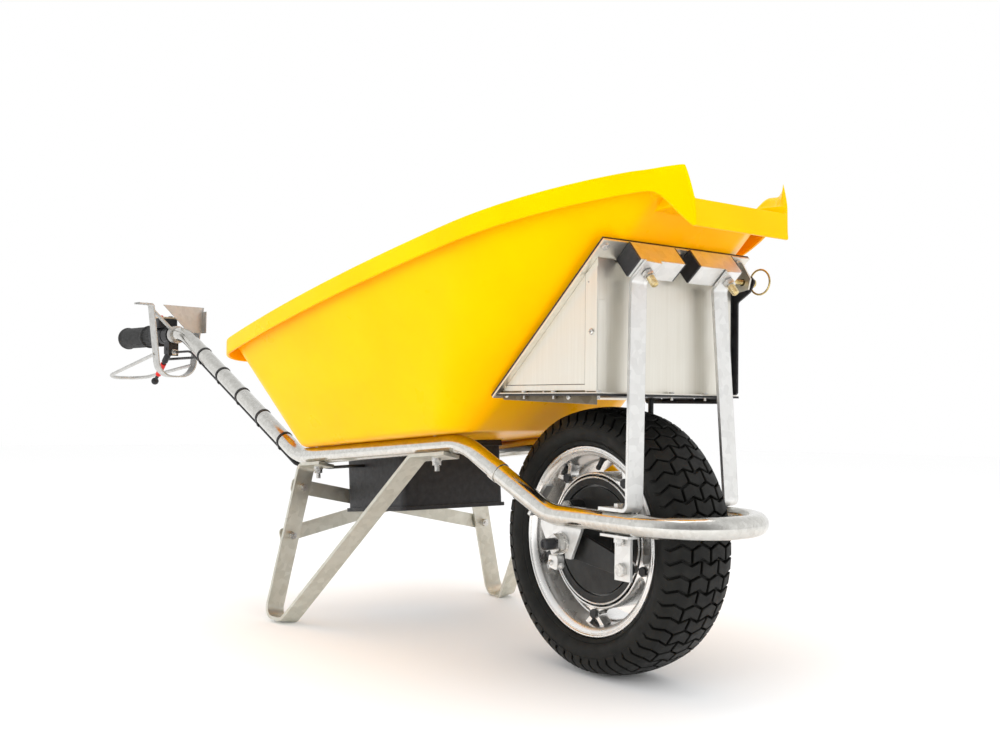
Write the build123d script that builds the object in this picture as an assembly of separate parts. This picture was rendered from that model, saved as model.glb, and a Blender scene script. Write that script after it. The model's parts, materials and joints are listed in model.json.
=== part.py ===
from build123d import *
import math
import os

os.makedirs("parts", exist_ok=True)

# An electric wheelbarrow. While it is drawn, the origin is on the ground under the wheel's axle,
# +X points forward, +Y to the left and +Z up. All lengths are in millimetres.

# Play between pieces
FIT = 0.2
RUN = 0.05
BOLT_PLAY = 0.3

# Bolts, nuts and washers
NUT_FLATS = 13.0
NUT_T = 7.0
HEAD_T = 5.0
WASHER_R = 9.0
COACH_HEAD_R = 8.5
COACH_HEAD_T = 3.0
COACH_DOME_R = 5.5
COACH_DOME_T = 4.5
BOLT_TAIL = 22.0
TORQUE_BOLT_R = 5.0
TORQUE_FLATS = 17.0
STRUT_NUT_FLATS = 16.0
STRUT_NUT_T = 8.0
STRUT_HEAD_R = 10.0
STRUT_HEAD_T = 4.0
PLATE_SCREW_R = 3.0
PLATE_SCREW_HEAD_R = 6.0
PLATE_SCREW_HEAD_T = 4.0
PAN_SCREW_R = 2.0
PAN_SCREW_HEAD_R = 4.2
PAN_SCREW_HEAD_T = 2.6
PAN_SCREW_LENGTH = 8.0
CUT = 30.0

# Wheel and tyre
TYRE_R = 205.0
TYRE_HALF = 63.0
TYRE_WALL = 11.0
CROWN_DROP = 7.0
SHOULDER_HALF = 49.0
BEAD_WIDTH = 11.8
BEAD_HEIGHT = 9.0
RIM_R = 145.0
RIM_HALF = 52.0
RIM_SEAT_R = 131.0
RIM_WALL = 5.0
RIM_LIP = 6.0
SPOKE_COUNT = 5
SPOKE_SPAN_DEG = 16.0
SPOKE_BACK = 6.0
RING_WALL = 6.0
RING_BACK = 20.0
VALVE_R = 4.0
VALVE_REACH = 22.0
VALVE_FRONT = -20.0
VALVE_LEAN = 14.0

# Hub with its motor and drum brake
HUB_R = 98.0
HUB_FRONT = -30.0
HUB_BACK = 44.0
HUB_WALL = 13.0
HUB_WEB = 6.0
HUB_FLANGE_T = 4.5
HUB_COVER_T = 6.0
HUB_BOLT_R = 4.0
HUB_EAR_R = 9.0
HUB_BOLT_PCD_R = 112.0
HUB_BOLT_LENGTH = 20.0
BEARING_R = 26.0
BEARING_WIDTH = 12.0
MAGNET_COUNT = 20
MAGNET_T = 4.0
STATOR_T = 28.0
STATOR_TEETH = 18
AIR_GAP = 1.0
LINER_T = 4.0
LINER_WIDTH = 23.0
SHOE_GAP = 1.0
SHOE_T = 8.0
SHOE_WIDTH = 19.0
SHOE_SPAN_DEG = 122.0
SHOE_WEB = 4.0
SHOE_SETBACK = 4.0
CAM_ANGLE_DEG = 125.0
CAM_R = 60.0
CAM_HALF = 5.0
CAM_SHAFT_R = 6.0
CAM_PLAY = 0.5
ANCHOR_R = 6.0
BRAKE_PLATE_R = 82.0
BRAKE_PLATE_T = 4.0
BRAKE_BOSS_R = 30.0
BRAKE_BOSS_END = -88.0
BRAKE_ARM_LENGTH = 38.5
BRAKE_ARM_T = 5.0
BRAKE_ARM_Y = -66.0
BRAKE_ARM_LEAN_DEG = 31.0
REACTION_T = 8.0
TORQUE_DROP = 25.0

# Axle
AXLE_R = 12.5
AXLE_END_R = 8.0
AXLE_END = 134.0
DROPOUT_T = 5.0
DROPOUT_FRONT = 44.0
DROPOUT_REAR = -50.0
DROPOUT_DEPTH = 22.0
WASHER_T = 3.0
AXLE_NUT_T = 13.0
AXLE_NUT_FLATS = 26.0
AXLE_CAP_LENGTH = 19.0
AXLE_CAP_R = 12.0
AXLE_WASHER_R = 17.0

# Frame tubes
TUBE_D = 32.0
TUBE_WALL = 2.6
BEND_R = 100.0
HANDLE_END_X = -1425.0
HANDLE_BEND_X = -1148.0
HANDLE_RISE = 259.5
HANDLE_HALF = 306.0
REAR_BEND_X = -687.0
BED_FALL = 42.0
TOP_BEND_X = -224.0
TOP_BEND_RISE = 101.5
LOW_BEND_X = -32.5
NOSE_RISE = 41.0
NOSE_GAP = 47.0
NOSE_BEND_R = 92.0
WHEEL_HALF = 100.0
SPLICE_SHARE = 0.42
COLLAR_WIDTH = 14.0
COLLAR_T = 1.4
SPIGOT_LENGTH = 70.0

# Legs and braces
LEG_WIDTH = 36.0
LEG_T = 6.0
LEG_ARM_SETBACK = 25.0
LEG_REAR_TAB = 66.0
LEG_FRONT_SETBACK = 111.0
LEG_FRONT_TAB = 87.0
FOOT_INSET = 48.0
FOOT_LEAN = 4.0
FOOT_LENGTH = 54.0
FOOT_RISE = 4.4
FOOT_BEND_R = 24.0
TAB_BEND_R = 12.0
LEG_REAR_BOLT = 32.0
LEG_FRONT_BOLT = 43.0
LEG_BOLT_R = 4.0
LEG_WASHER_T = 5.0
BRACE_WIDTH = 28.0
BRACE_T = 4.0
BRACE_HIGH_Z = 249.0
BRACE_LOW_Z = 157.0
BRACE_END = 16.0
BRACE_GAP = 2.4
BRACE_NUT_LEAN = 3.0
BRACE_BOLT_R = 4.0
BRACE_CORNER_R = 8.0

# Tray
TRAY_WALL = 6.0
BED_REAR_SETBACK = 15.0
BED_REAR_HALF = 208.0
BED_FRONT_HALF = 120.0
BED_FRONT_CORNER = 62.0
BED_REAR_CORNER = 50.0
RIM_FRONT_X = 246.0
RIM_RISE = 90.0
RIM_FRONT_HALF = 101.0
RIM_SLOPE = 0.20
RIM_OVERHANG = 100.0
RIM_REAR_HALF = 327.0
RIM_REAR_CORNER = 64.0
RIM_MID_X = -283.0
RIM_MID_HALF = 313.0
RIM_TURN_X = -60.0
RIM_TURN_HALF = 281.0
RIM_FLANGE = 20.0
RIM_BAND = 34.0
RIM_T = 6.0
SPOUT_HALF = 76.0
SPOUT_DEPTH = 45.0
SPOUT_LIP = 37.0
HORN_DEPTH = 34.0
HORN_DIP_INSET = 9.0
HORN_DIP = 28.0
HORN_BUMP_OFFSET = 5.0
HORN_BUMP = 16.0

# Control housing under the tray's front wall
PLATE_TOP_X = 141.0
PLATE_LOW_X = -116.0
PLATE_RISE = 218.0
PLATE_LAP = 4.0
PLATE_EDGE = 10.0
PLATE_T = 3.0
GASKET_T = 3.0
GASKET_WIDTH = 45.0
PANEL_T = 1.5
HOUSING_HALF = 140.0
HOUSING_FRONT_X = 119.0
HOUSING_FLANGE = 12.0
HOUSING_GAP = 18.0
DOOR_T = 3.0
DOOR_RIM = 9.0
DOOR_GAP = 1.0
HINGE_R = 4.0
HINGE_PIN_R = 2.0
HINGE_KNUCKLES = 5
LYNCH_SETBACK = 1.0
LYNCH_DROP = 39.0
LYNCH_R = 4.0
LYNCH_LENGTH = 34.0
LYNCH_HEAD = 13.0
LYNCH_HEAD_R = 7.0
RING_PLAY = 1.9
LYNCH_RING_R = 19.0
LYNCH_WIRE_R = 1.5
LYNCH_TRAVEL_HOLE = 1.8
EAR_LENGTH = 44.0
CONTROLLER_SIZE = (92.0, 150.0, 52.0)
CONTROLLER_FINS = 8
CONTROLLER_SETBACK = 143.0
CONTROLLER_INSET = 35.0
FIN_T = 4.0

# Struts from the nose loop up to the housing plate
STRUT_WIDTH = 30.0
STRUT_T = 5.0
STRUT_FOOT_X = 152.0
STRUT_FOOT_REAR_X = 94.0
STRUT_INSET = 20.0
STRUT_BOLT_R = 5.0
FOOT_BOLT_R = 4.0
STRUT_TAB = 40.0
STRUT_BEND_R = 9.0
TORQUE_FLANGE_T = 4.0
TORQUE_PLATE_T = 5.0
TORQUE_HALF = 16.0
BLOCK_SIZE = 35.0
BLOCK_WALL = 2.5
BLOCK_INNER = 17.0
BLOCK_INSET = 37.0
BLOCK_X = 131.5
BLOCK_CAP_T = 3.0
BLOCK_PLUG = 8.0

# Battery box
BATTERY_SETBACK = 31.0
BATTERY_LENGTH = 209.0
BATTERY_HALF = 113.0
BATTERY_DROP = 127.0
BATTERY_WALL = 3.0
BATTERY_LIP = 4.0
BATTERY_LID_T = 4.0
BATTERY_BOLT_R = 3.0
BATTERY_BOLT_INSET = 22.0
BATTERY_RIB = 7.0
BATTERY_CORNER_R = 10.0
BATTERY_HEADROOM = 42.0
BATTERY_NUT_FLATS = 10.0
BATTERY_HEAD_R = 7.0
TERMINAL_R = 9.0
TERMINAL_HALF = 60.0
TERMINAL_RISE = 12.0
LOOM_ENTRY = 71.0
LOOM_ENTRY_DROP = 40.0

# Handle controls
GRIP_R = 22.0
GRIP_LENGTH = 124.0
GRIP_FLANGE_R = 27.0
GRIP_END_T = 6.0
THROTTLE_LENGTH = 34.0
THROTTLE_R = 23.0
CONTROL_GAP = 1.0
THROTTLE_CLAMP = 18.0
GLAND_LEFT = 17.0
GLAND_DROP = 32.0
DISPLAY_LENGTH = 26.0
DISPLAY_HALF = 24.0
DISPLAY_HEIGHT = 22.0
DISPLAY_FACE_T = 4.0
BUTTON_R = 5.0
BUTTON_RISE = 3.0
BUTTON_TRAVEL = 2.0
PERCH_LENGTH = 24.0
PERCH_T = 5.0
LEVER_HALF = 8.0
LEVER_DROP = 32.0
LEVER_LENGTH = 104.0
LEVER_LEAN_DEG = 45.0
LEVER_PIN_R = 4.0
LEVER_ROD_R = 4.0
SLEEVE_R = 6.5
SLEEVE_LENGTH = 36.0
SLEEVE_SETBACK = 47.0
BALL_R = 8.5
GUARD_WIDTH = 20.0
GUARD_T = 3.0
GUARD_TOP = 66.0
GUARD_TOP_HALF = 62.0
GUARD_LOW_HALF = 42.0
GUARD_DROP = 96.0
GUARD_TAIL = 34.0
ROD_R = 4.0
ROD_TIP_S = -12.0
SHIELD_T = 1.6
SHIELD_INSET = 22.0
SHIELD_EDGE = 2.0
SHIELD_LOW = 6.0
SHIELD_FOOT = 24.0
SHIELD_FOLD = 18.0
ADJUSTER_R = 5.0
ADJUSTER_LENGTH = 20.0

# Cables
BRAKE_CABLE_R = 2.6
LOOM_R = 3.0
MOTOR_CABLE_R = 4.5
LEAD_SETBACK = 40.0
LEAD_INSET = 20.0
LEAD_RISE = 84.0
WIRE_R = 1.0
FERRULE_LENGTH = 24.0
FERRULE_R = 4.0
STOP_SETBACK = 90.0
STOP_LIFT = 18.0
STOP_WIDTH = 20.0
STOP_HEIGHT = 58.0
STOP_T = 5.0
LOOM_TURN = 47.0
TIE_T = 1.4
TIE_WIDTH = 4.5
TIE_COUNT = 5
TIE_START = 86.0
TIE_STEP = 79.0

# Values worked out from the sizes above
TUBE_R = TUBE_D / 2
AXLE_Z = TYRE_R
DROPOUT_IN = WHEEL_HALF - DROPOUT_T / 2
NOSE_X = TYRE_R + NOSE_GAP
NOSE_Z = AXLE_Z + NOSE_RISE
TOP_BEND_Z = NOSE_Z + TOP_BEND_RISE
REAR_BEND_Z = TOP_BEND_Z - BED_FALL
HANDLE_Z = REAR_BEND_Z + HANDLE_RISE
LEG_ARM_X = REAR_BEND_X + LEG_ARM_SETBACK
LEG_FRONT_X = TOP_BEND_X - LEG_FRONT_SETBACK
LEG_BOLT_XS = (LEG_ARM_X + LEG_REAR_BOLT, LEG_FRONT_X + LEG_FRONT_BOLT)
FOOT_BACK_X = LEG_ARM_X - FOOT_LEAN
BED_REAR_X = REAR_BEND_X + BED_REAR_SETBACK
RIM_REAR_X = BED_REAR_X - RIM_OVERHANG
BATTERY_REAR_X = REAR_BEND_X + BATTERY_SETBACK
BATTERY_FRONT_X = BATTERY_REAR_X + BATTERY_LENGTH
LOOM_TURN_X = REAR_BEND_X + LOOM_TURN
HOUSING_BOTTOM_Z = 2 * TYRE_R + HOUSING_GAP
PLATE_LOW_Z = HOUSING_BOTTOM_Z - PLATE_LAP
PLATE_TOP_Z = PLATE_LOW_Z + PLATE_RISE
LYNCH_X = PLATE_TOP_X - LYNCH_SETBACK
LEG_FOOT_Y = HANDLE_HALF - FOOT_INSET
PLATE_HALF = HOUSING_HALF + PLATE_EDGE
BLOCK_OUTER = HOUSING_HALF - BLOCK_INSET
STRUT_TOP_HALF = BLOCK_OUTER - STRUT_INSET
LYNCH_Z = PLATE_TOP_Z - LYNCH_DROP
RIM_FRONT_Z = PLATE_TOP_Z + RIM_RISE
SPOUT_Z = RIM_FRONT_Z - SPOUT_DEPTH
SPOUT_LIP_Z = SPOUT_Z - SPOUT_LIP
HORN_DIP_HALF = RIM_FRONT_HALF - HORN_DIP_INSET
HORN_DIP_Z = RIM_FRONT_Z - HORN_DIP
HORN_BUMP_HALF = SPOUT_HALF + HORN_BUMP_OFFSET
HORN_BUMP_Z = RIM_FRONT_Z - HORN_BUMP
NODES = {}


def keep(name, *solids):
    """Add finished solids to a named node."""
    NODES.setdefault(name, []).extend(solids)


def rod(start, end, radius):
    """A round bar between two points."""
    start = Vector(start)
    run = Vector(end) - start
    return Solid.make_cylinder(radius, run.length, Plane(origin=start, z_dir=run))


def pipe(start, end, radius, bore):
    """A round bar with a hole along it."""
    start = Vector(start)
    run = Vector(end) - start
    return rod(start, end, radius) - rod(start - run, start + run * 2, bore)


def hexagon(start, end, flats):
    """A hexagonal bar between two points, measured across its flats."""
    start = Vector(start)
    run = Vector(end) - start
    face = Plane(origin=start, z_dir=run) * RegularPolygon(flats / 2, 6, major_radius=False)
    return extrude(face, amount=run.length, dir=run)


def box(low, high):
    """A block between two opposite corners."""
    low = Vector(low)
    size = Vector(high) - low
    return Pos(*(low + size / 2)) * Box(size.X, size.Y, size.Z)


def other_side(shape):
    """The same piece on the left of the barrow."""
    return mirror(shape, about=Plane.XZ)


def bent_bar(points, radii, width_dir, width, thickness):
    """A flat bar bent along a line, with its width along width_dir."""
    path = FilletPolyline(*points, radius=radii)
    section = Plane(origin=path @ 0, x_dir=width_dir, z_dir=path % 0) * Rectangle(width, thickness)
    return sweep(section, path=path)


def swept(points, radii, radius, bore=0.0):
    """A round bar or tube along straight runs and arcs."""
    path = FilletPolyline(*points, radius=radii)
    ring = Circle(radius)
    if bore:
        ring = ring - Circle(bore)
    return sweep(Plane(origin=path @ 0, z_dir=path % 0) * ring, path=path)


def turned(points):
    """A ring turned about the axle from (distance along Y, radius) points."""
    outline = [(y, AXLE_Z + radius) for y, radius in points]
    face = Plane.YZ * make_face(Polyline(*outline, close=True))
    return revolve(face, Axis((0, 0, AXLE_Z), (0, 1, 0)))


def around(radius, angle_deg, y):
    """A point at an angle round the axle, counted from +X towards +Z."""
    angle = math.radians(angle_deg)
    return Vector(radius * math.cos(angle), y, AXLE_Z + radius * math.sin(angle))


def sector(inner, outer, start_deg, end_deg, front, back):
    """A curved block between two radii and two angles round the axle."""
    plane = Plane(origin=(0, front, AXLE_Z), x_dir=(1, 0, 0), z_dir=(0, -1, 0))
    middle = (start_deg + end_deg) / 2

    def spot(radius, angle):
        return (radius * math.cos(math.radians(angle)), radius * math.sin(math.radians(angle)))

    edges = [ThreePointArc(spot(outer, start_deg), spot(outer, middle), spot(outer, end_deg)),
             Line(spot(outer, end_deg), spot(inner, end_deg)),
             ThreePointArc(spot(inner, end_deg), spot(inner, middle), spot(inner, start_deg)),
             Line(spot(inner, start_deg), spot(outer, start_deg))]
    return extrude(plane * make_face(edges), amount=front - back)


# Places along the frame tubes

RUN_LENGTH_X = LOW_BEND_X - HANDLE_END_X
FORWARD = Vector(RUN_LENGTH_X, HANDLE_HALF - WHEEL_HALF, 0).normalized()
LEFT = Vector(-FORWARD.Y, FORWARD.X, 0)
UP = Vector(0, 0, 1)
AHEAD = Vector(1, 0, 0)
SIDE = Vector(0, 1, 0)


def tube_half(x):
    """Half the distance between the two tubes at a place along the barrow."""
    share = (LOW_BEND_X - x) / RUN_LENGTH_X
    return WHEEL_HALF + (HANDLE_HALF - WHEEL_HALF) * max(0.0, share)


def on_tube(x, z):
    """A point in the right tube's upright plane."""
    return Vector(x, -tube_half(x), z)


def beside(s, left, z):
    """A point at a run forward from the right tube's end, an offset to the left and a height."""
    return Vector(HANDLE_END_X, -HANDLE_HALF, z) + FORWARD * s + LEFT * left


def run_to(x):
    """Run along the right tube's plan line from its rear end to a place along the barrow."""
    return (x - HANDLE_END_X) / FORWARD.X


HANDLE_BEND = on_tube(HANDLE_BEND_X, HANDLE_Z)
REAR_BEND = on_tube(REAR_BEND_X, REAR_BEND_Z)
TOP_BEND = on_tube(TOP_BEND_X, TOP_BEND_Z)
LOW_BEND = on_tube(LOW_BEND_X, NOSE_Z)
SPLICE = TOP_BEND + (LOW_BEND - TOP_BEND) * SPLICE_SHARE
SLOPE_DIR = (LOW_BEND - TOP_BEND).normalized()
BED_DIR = (TOP_BEND - REAR_BEND).normalized()
BED_SLOPE = (TOP_BEND_Z - REAR_BEND_Z) / (TOP_BEND_X - REAR_BEND_X)


def flip(point):
    """The mirror image of a point on the left side."""
    return Vector(point.X, -point.Y, point.Z)


# Places on the sloped housing plate and on the tray's front wall

PLATE_RUN = Vector(PLATE_TOP_X - PLATE_LOW_X, 0, PLATE_TOP_Z - PLATE_LOW_Z)
PLATE_DIR = PLATE_RUN.normalized()
PLATE_NORMAL = Vector(PLATE_DIR.Z, 0, -PLATE_DIR.X)
PLATE_TOP = Vector(PLATE_TOP_X, 0, PLATE_TOP_Z)
PLATE_LOW = Vector(PLATE_LOW_X, 0, PLATE_LOW_Z)
WALL_POINT = PLATE_TOP - PLATE_NORMAL * (GASKET_T + 2 * FIT)
WALL_RISE = PLATE_DIR.Z / PLATE_DIR.X


def plate_under_z(x):
    """Height of the sloped plate's underside."""
    low = PLATE_TOP + PLATE_NORMAL * PLATE_T
    return low.Z + WALL_RISE * (x - low.X)


def bed_z(x):
    """Height of the tray's underside, which lies on the tubes."""
    tube_top = REAR_BEND_Z + TUBE_R / math.cos(math.atan(BED_SLOPE)) + FIT
    return tube_top + BED_SLOPE * (x - REAR_BEND_X)


WALL_Z0 = WALL_POINT.Z - WALL_RISE * WALL_POINT.X
BED_FRONT_X = (bed_z(0) - WALL_Z0) / (WALL_RISE - BED_SLOPE)
RIM_WALL_X = (RIM_FRONT_Z - RIM_SLOPE * RIM_FRONT_X - WALL_Z0) / (WALL_RISE - RIM_SLOPE)
RIM_PLANE = Plane(origin=(RIM_FRONT_X, 0, RIM_FRONT_Z), x_dir=(1, 0, RIM_SLOPE),
                  z_dir=(-RIM_SLOPE, 0, 1))
BED_PLANE = Plane(origin=(BED_FRONT_X, 0, bed_z(BED_FRONT_X)), x_dir=(1, 0, BED_SLOPE),
                  z_dir=(-BED_SLOPE, 0, 1))
BED_NORMAL = BED_PLANE.z_dir
LEG_BOLTS = [on_tube(x, REAR_BEND_Z + BED_SLOPE * (x - REAR_BEND_X)) for x in LEG_BOLT_XS]
BLOCK_CENTRE = Vector(BLOCK_X, 0, plate_under_z(BLOCK_X)) + PLATE_NORMAL * (BLOCK_SIZE / 2 + FIT)


# Tray

def rim_face(inset, front_inset):
    """The rim's plan shape, drawn in from its outer edge."""
    def spot(x, half):
        return ((x - RIM_FRONT_X) * math.hypot(1, RIM_SLOPE), half)

    corner = RIM_REAR_CORNER - inset
    rear = RIM_REAR_X + inset
    wide = RIM_REAR_HALF - inset
    front = RIM_FRONT_X - front_inset
    tip = RIM_FRONT_HALF - inset * RIM_FRONT_HALF / RIM_TURN_HALF - front_inset
    lean = corner * (1 - math.sqrt(0.5))
    edges = [Line(spot(rear, wide - corner), spot(rear, corner - wide))]
    halves = []
    for sign in (-1, 1):
        bend = ThreePointArc(spot(rear, sign * (wide - corner)),
                             spot(rear + lean, sign * (wide - lean)),
                             spot(rear + corner, sign * wide))
        flank = ThreePointArc(spot(rear + corner, sign * wide),
                              spot(RIM_MID_X, sign * (RIM_MID_HALF - inset)),
                              spot(RIM_TURN_X, sign * (RIM_TURN_HALF - inset)))
        nose = TangentArc(spot(RIM_TURN_X, sign * (RIM_TURN_HALF - inset)), spot(front, sign * tip),
                          tangent=flank % 1)
        halves.append([bend, flank, nose])
    edges += halves[0]
    edges.append(Line(spot(front, -tip), spot(front, tip)))
    edges += reversed(halves[1])
    return RIM_PLANE * make_face(edges)


def bed_face(inset, lift):
    """The tray's floor shape, drawn in and lifted."""
    def spot(x, half):
        return ((x - BED_FRONT_X) * math.hypot(1, BED_SLOPE), half)

    rear = BED_REAR_X + inset
    wide = BED_REAR_HALF - inset
    corner = BED_REAR_CORNER - inset
    front_corner = BED_FRONT_CORNER - inset
    front = BED_FRONT_X - inset * math.hypot(1, 1 / WALL_RISE) + lift / WALL_RISE
    tip = BED_FRONT_HALF
    lean = corner * (1 - math.sqrt(0.5))
    front_lean = front_corner * (1 - math.sqrt(0.5))
    edges = [Line(spot(rear, wide - corner), spot(rear, corner - wide))]
    halves = []
    for sign in (-1, 1):
        bend = ThreePointArc(spot(rear, sign * (wide - corner)),
                             spot(rear + lean, sign * (wide - lean)),
                             spot(rear + corner, sign * wide))
        flank_end = spot(front - front_corner, sign * (tip + front_corner))
        flank = Line(spot(rear + corner, sign * wide), flank_end)
        nose = ThreePointArc(flank_end,
                             spot(front - front_lean, sign * (tip + front_corner - front_lean)),
                             spot(front, sign * tip))
        halves.append([bend, flank, nose])
    edges += halves[0]
    edges.append(Line(spot(front, -tip), spot(front, tip)))
    edges += reversed(halves[1])
    return Pos(*(BED_NORMAL * lift)) * (BED_PLANE * make_face(edges))


def strut_bolt_line(sign):
    """Where a strut's bolt crosses the block's axis."""
    return Vector(BLOCK_CENTRE.X, sign * STRUT_TOP_HALF, BLOCK_CENTRE.Z)


def make_tray():
    front_gap = RIM_FRONT_X - RIM_WALL_X
    outer = loft([bed_face(0, 0), rim_face(RIM_FLANGE, front_gap)], ruled=True)
    lift = RIM_PLANE.z_dir * 0.5
    inner_rim = Pos(*lift) * rim_face(RIM_FLANGE + TRAY_WALL, front_gap + TRAY_WALL * 1.5)
    inner = loft([bed_face(TRAY_WALL, TRAY_WALL), inner_rim], ruled=True)
    band = rim_face(0, 0)
    deck = extrude(band - rim_face(RIM_FLANGE + TRAY_WALL, front_gap + TRAY_WALL), amount=-RIM_T)
    skirt = extrude(band - rim_face(TRAY_WALL, TRAY_WALL), amount=-RIM_BAND)
    shell = outer - inner
    tray = shell + deck + skirt
    wall_top = (SPOUT_Z - WALL_Z0) / WALL_RISE
    tray -= box((wall_top - 2 * CUT, -SPOUT_HALF, SPOUT_Z),
                (RIM_FRONT_X + CUT, SPOUT_HALF, RIM_FRONT_Z + CUT))
    shelf = box((wall_top - TRAY_WALL / 3, -RIM_FRONT_HALF, SPOUT_Z - RIM_T),
                (RIM_FRONT_X, RIM_FRONT_HALF, SPOUT_Z))
    lip = box((RIM_FRONT_X - RIM_T, -RIM_FRONT_HALF, SPOUT_LIP_Z), (RIM_FRONT_X, RIM_FRONT_HALF, SPOUT_Z))
    tray += shelf + lip
    horn_top = RIM_FRONT_Z - RIM_T / 4
    spike = RIM_T / 2
    outline = [(RIM_FRONT_HALF, SPOUT_LIP_Z), (RIM_FRONT_HALF, horn_top),
               (RIM_FRONT_HALF - spike, horn_top),
               (HORN_DIP_HALF, HORN_DIP_Z), (HORN_BUMP_HALF + spike + 1, HORN_BUMP_Z - spike),
               (HORN_BUMP_HALF, HORN_BUMP_Z), (SPOUT_HALF, HORN_BUMP_Z - RIM_T),
               (SPOUT_HALF, SPOUT_LIP_Z)]
    front = Plane(origin=(RIM_FRONT_X, 0, 0), x_dir=(0, 1, 0), z_dir=(1, 0, 0))
    horn = extrude(front * make_face(Polyline(*outline, close=True)), amount=-HORN_DEPTH)
    hollow = box((RIM_FRONT_X - HORN_DEPTH - 1, SPOUT_HALF - spike, HORN_DIP_Z),
                 (RIM_FRONT_X + CUT, RIM_FRONT_HALF - spike - 0.5, RIM_FRONT_Z + CUT))
    horn -= box((RIM_FRONT_X - HORN_DEPTH - 1, SPOUT_HALF + spike + 1, SPOUT_LIP_Z - 1),
                (RIM_FRONT_X - RIM_T, RIM_FRONT_HALF - RIM_T, SPOUT_Z - RIM_T))
    tray = tray - hollow - other_side(hollow)
    tray = tray + horn + other_side(horn)
    for sign in (-1, 1):
        start = strut_bolt_line(sign)
        tray -= rod(start, start - PLATE_NORMAL * 3 * CUT, STRUT_BOLT_R + BOLT_PLAY)
        for spot in LEG_BOLTS:
            spot = spot if sign < 0 else flip(spot)
            tray -= rod(spot, spot + BED_NORMAL * 2 * CUT, LEG_BOLT_R + BOLT_PLAY)
    for spot in battery_bolts():
        tray -= rod(spot - BED_NORMAL * CUT, spot + BED_NORMAL * CUT, BATTERY_BOLT_R + BOLT_PLAY)
    return tray


def battery_bolts():
    """Where the battery lid's bolts cross the tray's underside."""
    spots = []
    for x in (BATTERY_REAR_X + BATTERY_BOLT_INSET, BATTERY_FRONT_X - BATTERY_BOLT_INSET):
        for y in (BATTERY_BOLT_INSET - BATTERY_HALF, BATTERY_HALF - BATTERY_BOLT_INSET):
            spots.append(Vector(x, y, bed_z(x)))
    return spots


keep("tray", make_tray())


# Frame tubes, splices, dropout plates, torque bracket

TUBE_BORE = TUBE_R - TUBE_WALL
FOOT_BOLT_X = (STRUT_FOOT_X + STRUT_FOOT_REAR_X) / 2
SPLICE_START = SPLICE + SLOPE_DIR * FIT
NOSE_CORNER = Vector(NOSE_X, -WHEEL_HALF, NOSE_Z)
NOSE_POINTS = [SPLICE_START, LOW_BEND, NOSE_CORNER, flip(NOSE_CORNER), flip(LOW_BEND), flip(SPLICE_START)]
NOSE_RADII = [BEND_R, NOSE_BEND_R, NOSE_BEND_R, BEND_R]
HANDLE_POINTS = [beside(0, 0, HANDLE_Z), HANDLE_BEND, REAR_BEND, TOP_BEND, SPLICE]


def make_frame():
    right = swept(HANDLE_POINTS, BEND_R, TUBE_R, TUBE_BORE)
    for spot in LEG_BOLTS:
        right -= rod(spot - BED_NORMAL * CUT, spot + BED_NORMAL * CUT, LEG_BOLT_R + BOLT_PLAY)
    keep("handle_tubes", right, other_side(right))

    nose = swept(NOSE_POINTS, NOSE_RADII, TUBE_R, TUBE_BORE)
    solid_nose = swept(NOSE_POINTS, NOSE_RADII, TUBE_R + RUN)
    for sign in (-1, 1):
        spot = Vector(FOOT_BOLT_X, sign * WHEEL_HALF, NOSE_Z)
        nose -= rod(spot - UP * CUT, spot + UP * CUT, FOOT_BOLT_R + BOLT_PLAY)
    keep("nose_loop", nose)

    half = SLOPE_DIR * (SPIGOT_LENGTH / 2)
    spigot = pipe(SPLICE - half, SPLICE + half, TUBE_BORE - FIT, TUBE_BORE - FIT - TUBE_WALL)
    keep("splices", spigot, other_side(spigot))
    half = SLOPE_DIR * (COLLAR_WIDTH / 2)
    collar = pipe(SPLICE - half, SPLICE + half, TUBE_R + RUN + COLLAR_T, TUBE_R + RUN)
    keep("splices", collar, other_side(collar))

    low = AXLE_Z - DROPOUT_DEPTH
    knee = AXLE_Z + DROPOUT_DEPTH
    top = NOSE_Z + TUBE_R / 4
    outline = [(DROPOUT_REAR, top), (DROPOUT_FRONT, top), (DROPOUT_FRONT, knee),
               (DROPOUT_DEPTH, low), (-DROPOUT_DEPTH, low), (DROPOUT_REAR, knee)]
    face = Plane(origin=(0, -DROPOUT_IN, 0), x_dir=(1, 0, 0), z_dir=(0, -1, 0)) * make_face(
        Polyline(*outline, close=True))
    plate = extrude(face, amount=DROPOUT_T) - solid_nose
    slot = AXLE_END_R + BOLT_PLAY
    plate -= box((-slot, -WHEEL_HALF - CUT, low - CUT), (slot, -WHEEL_HALF + CUT, AXLE_Z))
    plate -= rod((0, -WHEEL_HALF - CUT, AXLE_Z), (0, -WHEEL_HALF + CUT, AXLE_Z), slot)
    plate = plate.solids().sort_by(Axis.Z)[0]
    keep("frame_brackets", plate, other_side(plate))
    return solid_nose


SOLID_NOSE = make_frame()


# Legs, leg bolts and crossed braces

FOOT = Vector(FOOT_BACK_X + FOOT_LENGTH / 2, -LEG_FOOT_Y, 0)
FOOT_RUN = FOOT - REAR_BEND
LEG_DOWN = (FOOT_RUN - BED_DIR * FOOT_RUN.dot(BED_DIR)).normalized()
LEG_NORMAL = BED_DIR.cross(LEG_DOWN)
TAB_DROP = TUBE_R + LEG_T / 2 + FIT


def leg_tab(x):
    """A point of the leg's tab line under the tube."""
    start = REAR_BEND + LEG_DOWN * TAB_DROP
    return start + BED_DIR * ((x - start.X) / BED_DIR.X)


def leg_low(x, z):
    """A point of the leg's own plane."""
    det = BED_DIR.X * LEG_DOWN.Z - LEG_DOWN.X * BED_DIR.Z
    along = ((x - REAR_BEND.X) * LEG_DOWN.Z - LEG_DOWN.X * (z - REAR_BEND.Z)) / det
    down = (BED_DIR.X * (z - REAR_BEND.Z) - (x - REAR_BEND.X) * BED_DIR.Z) / det
    return REAR_BEND + BED_DIR * along + LEG_DOWN * down


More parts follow.
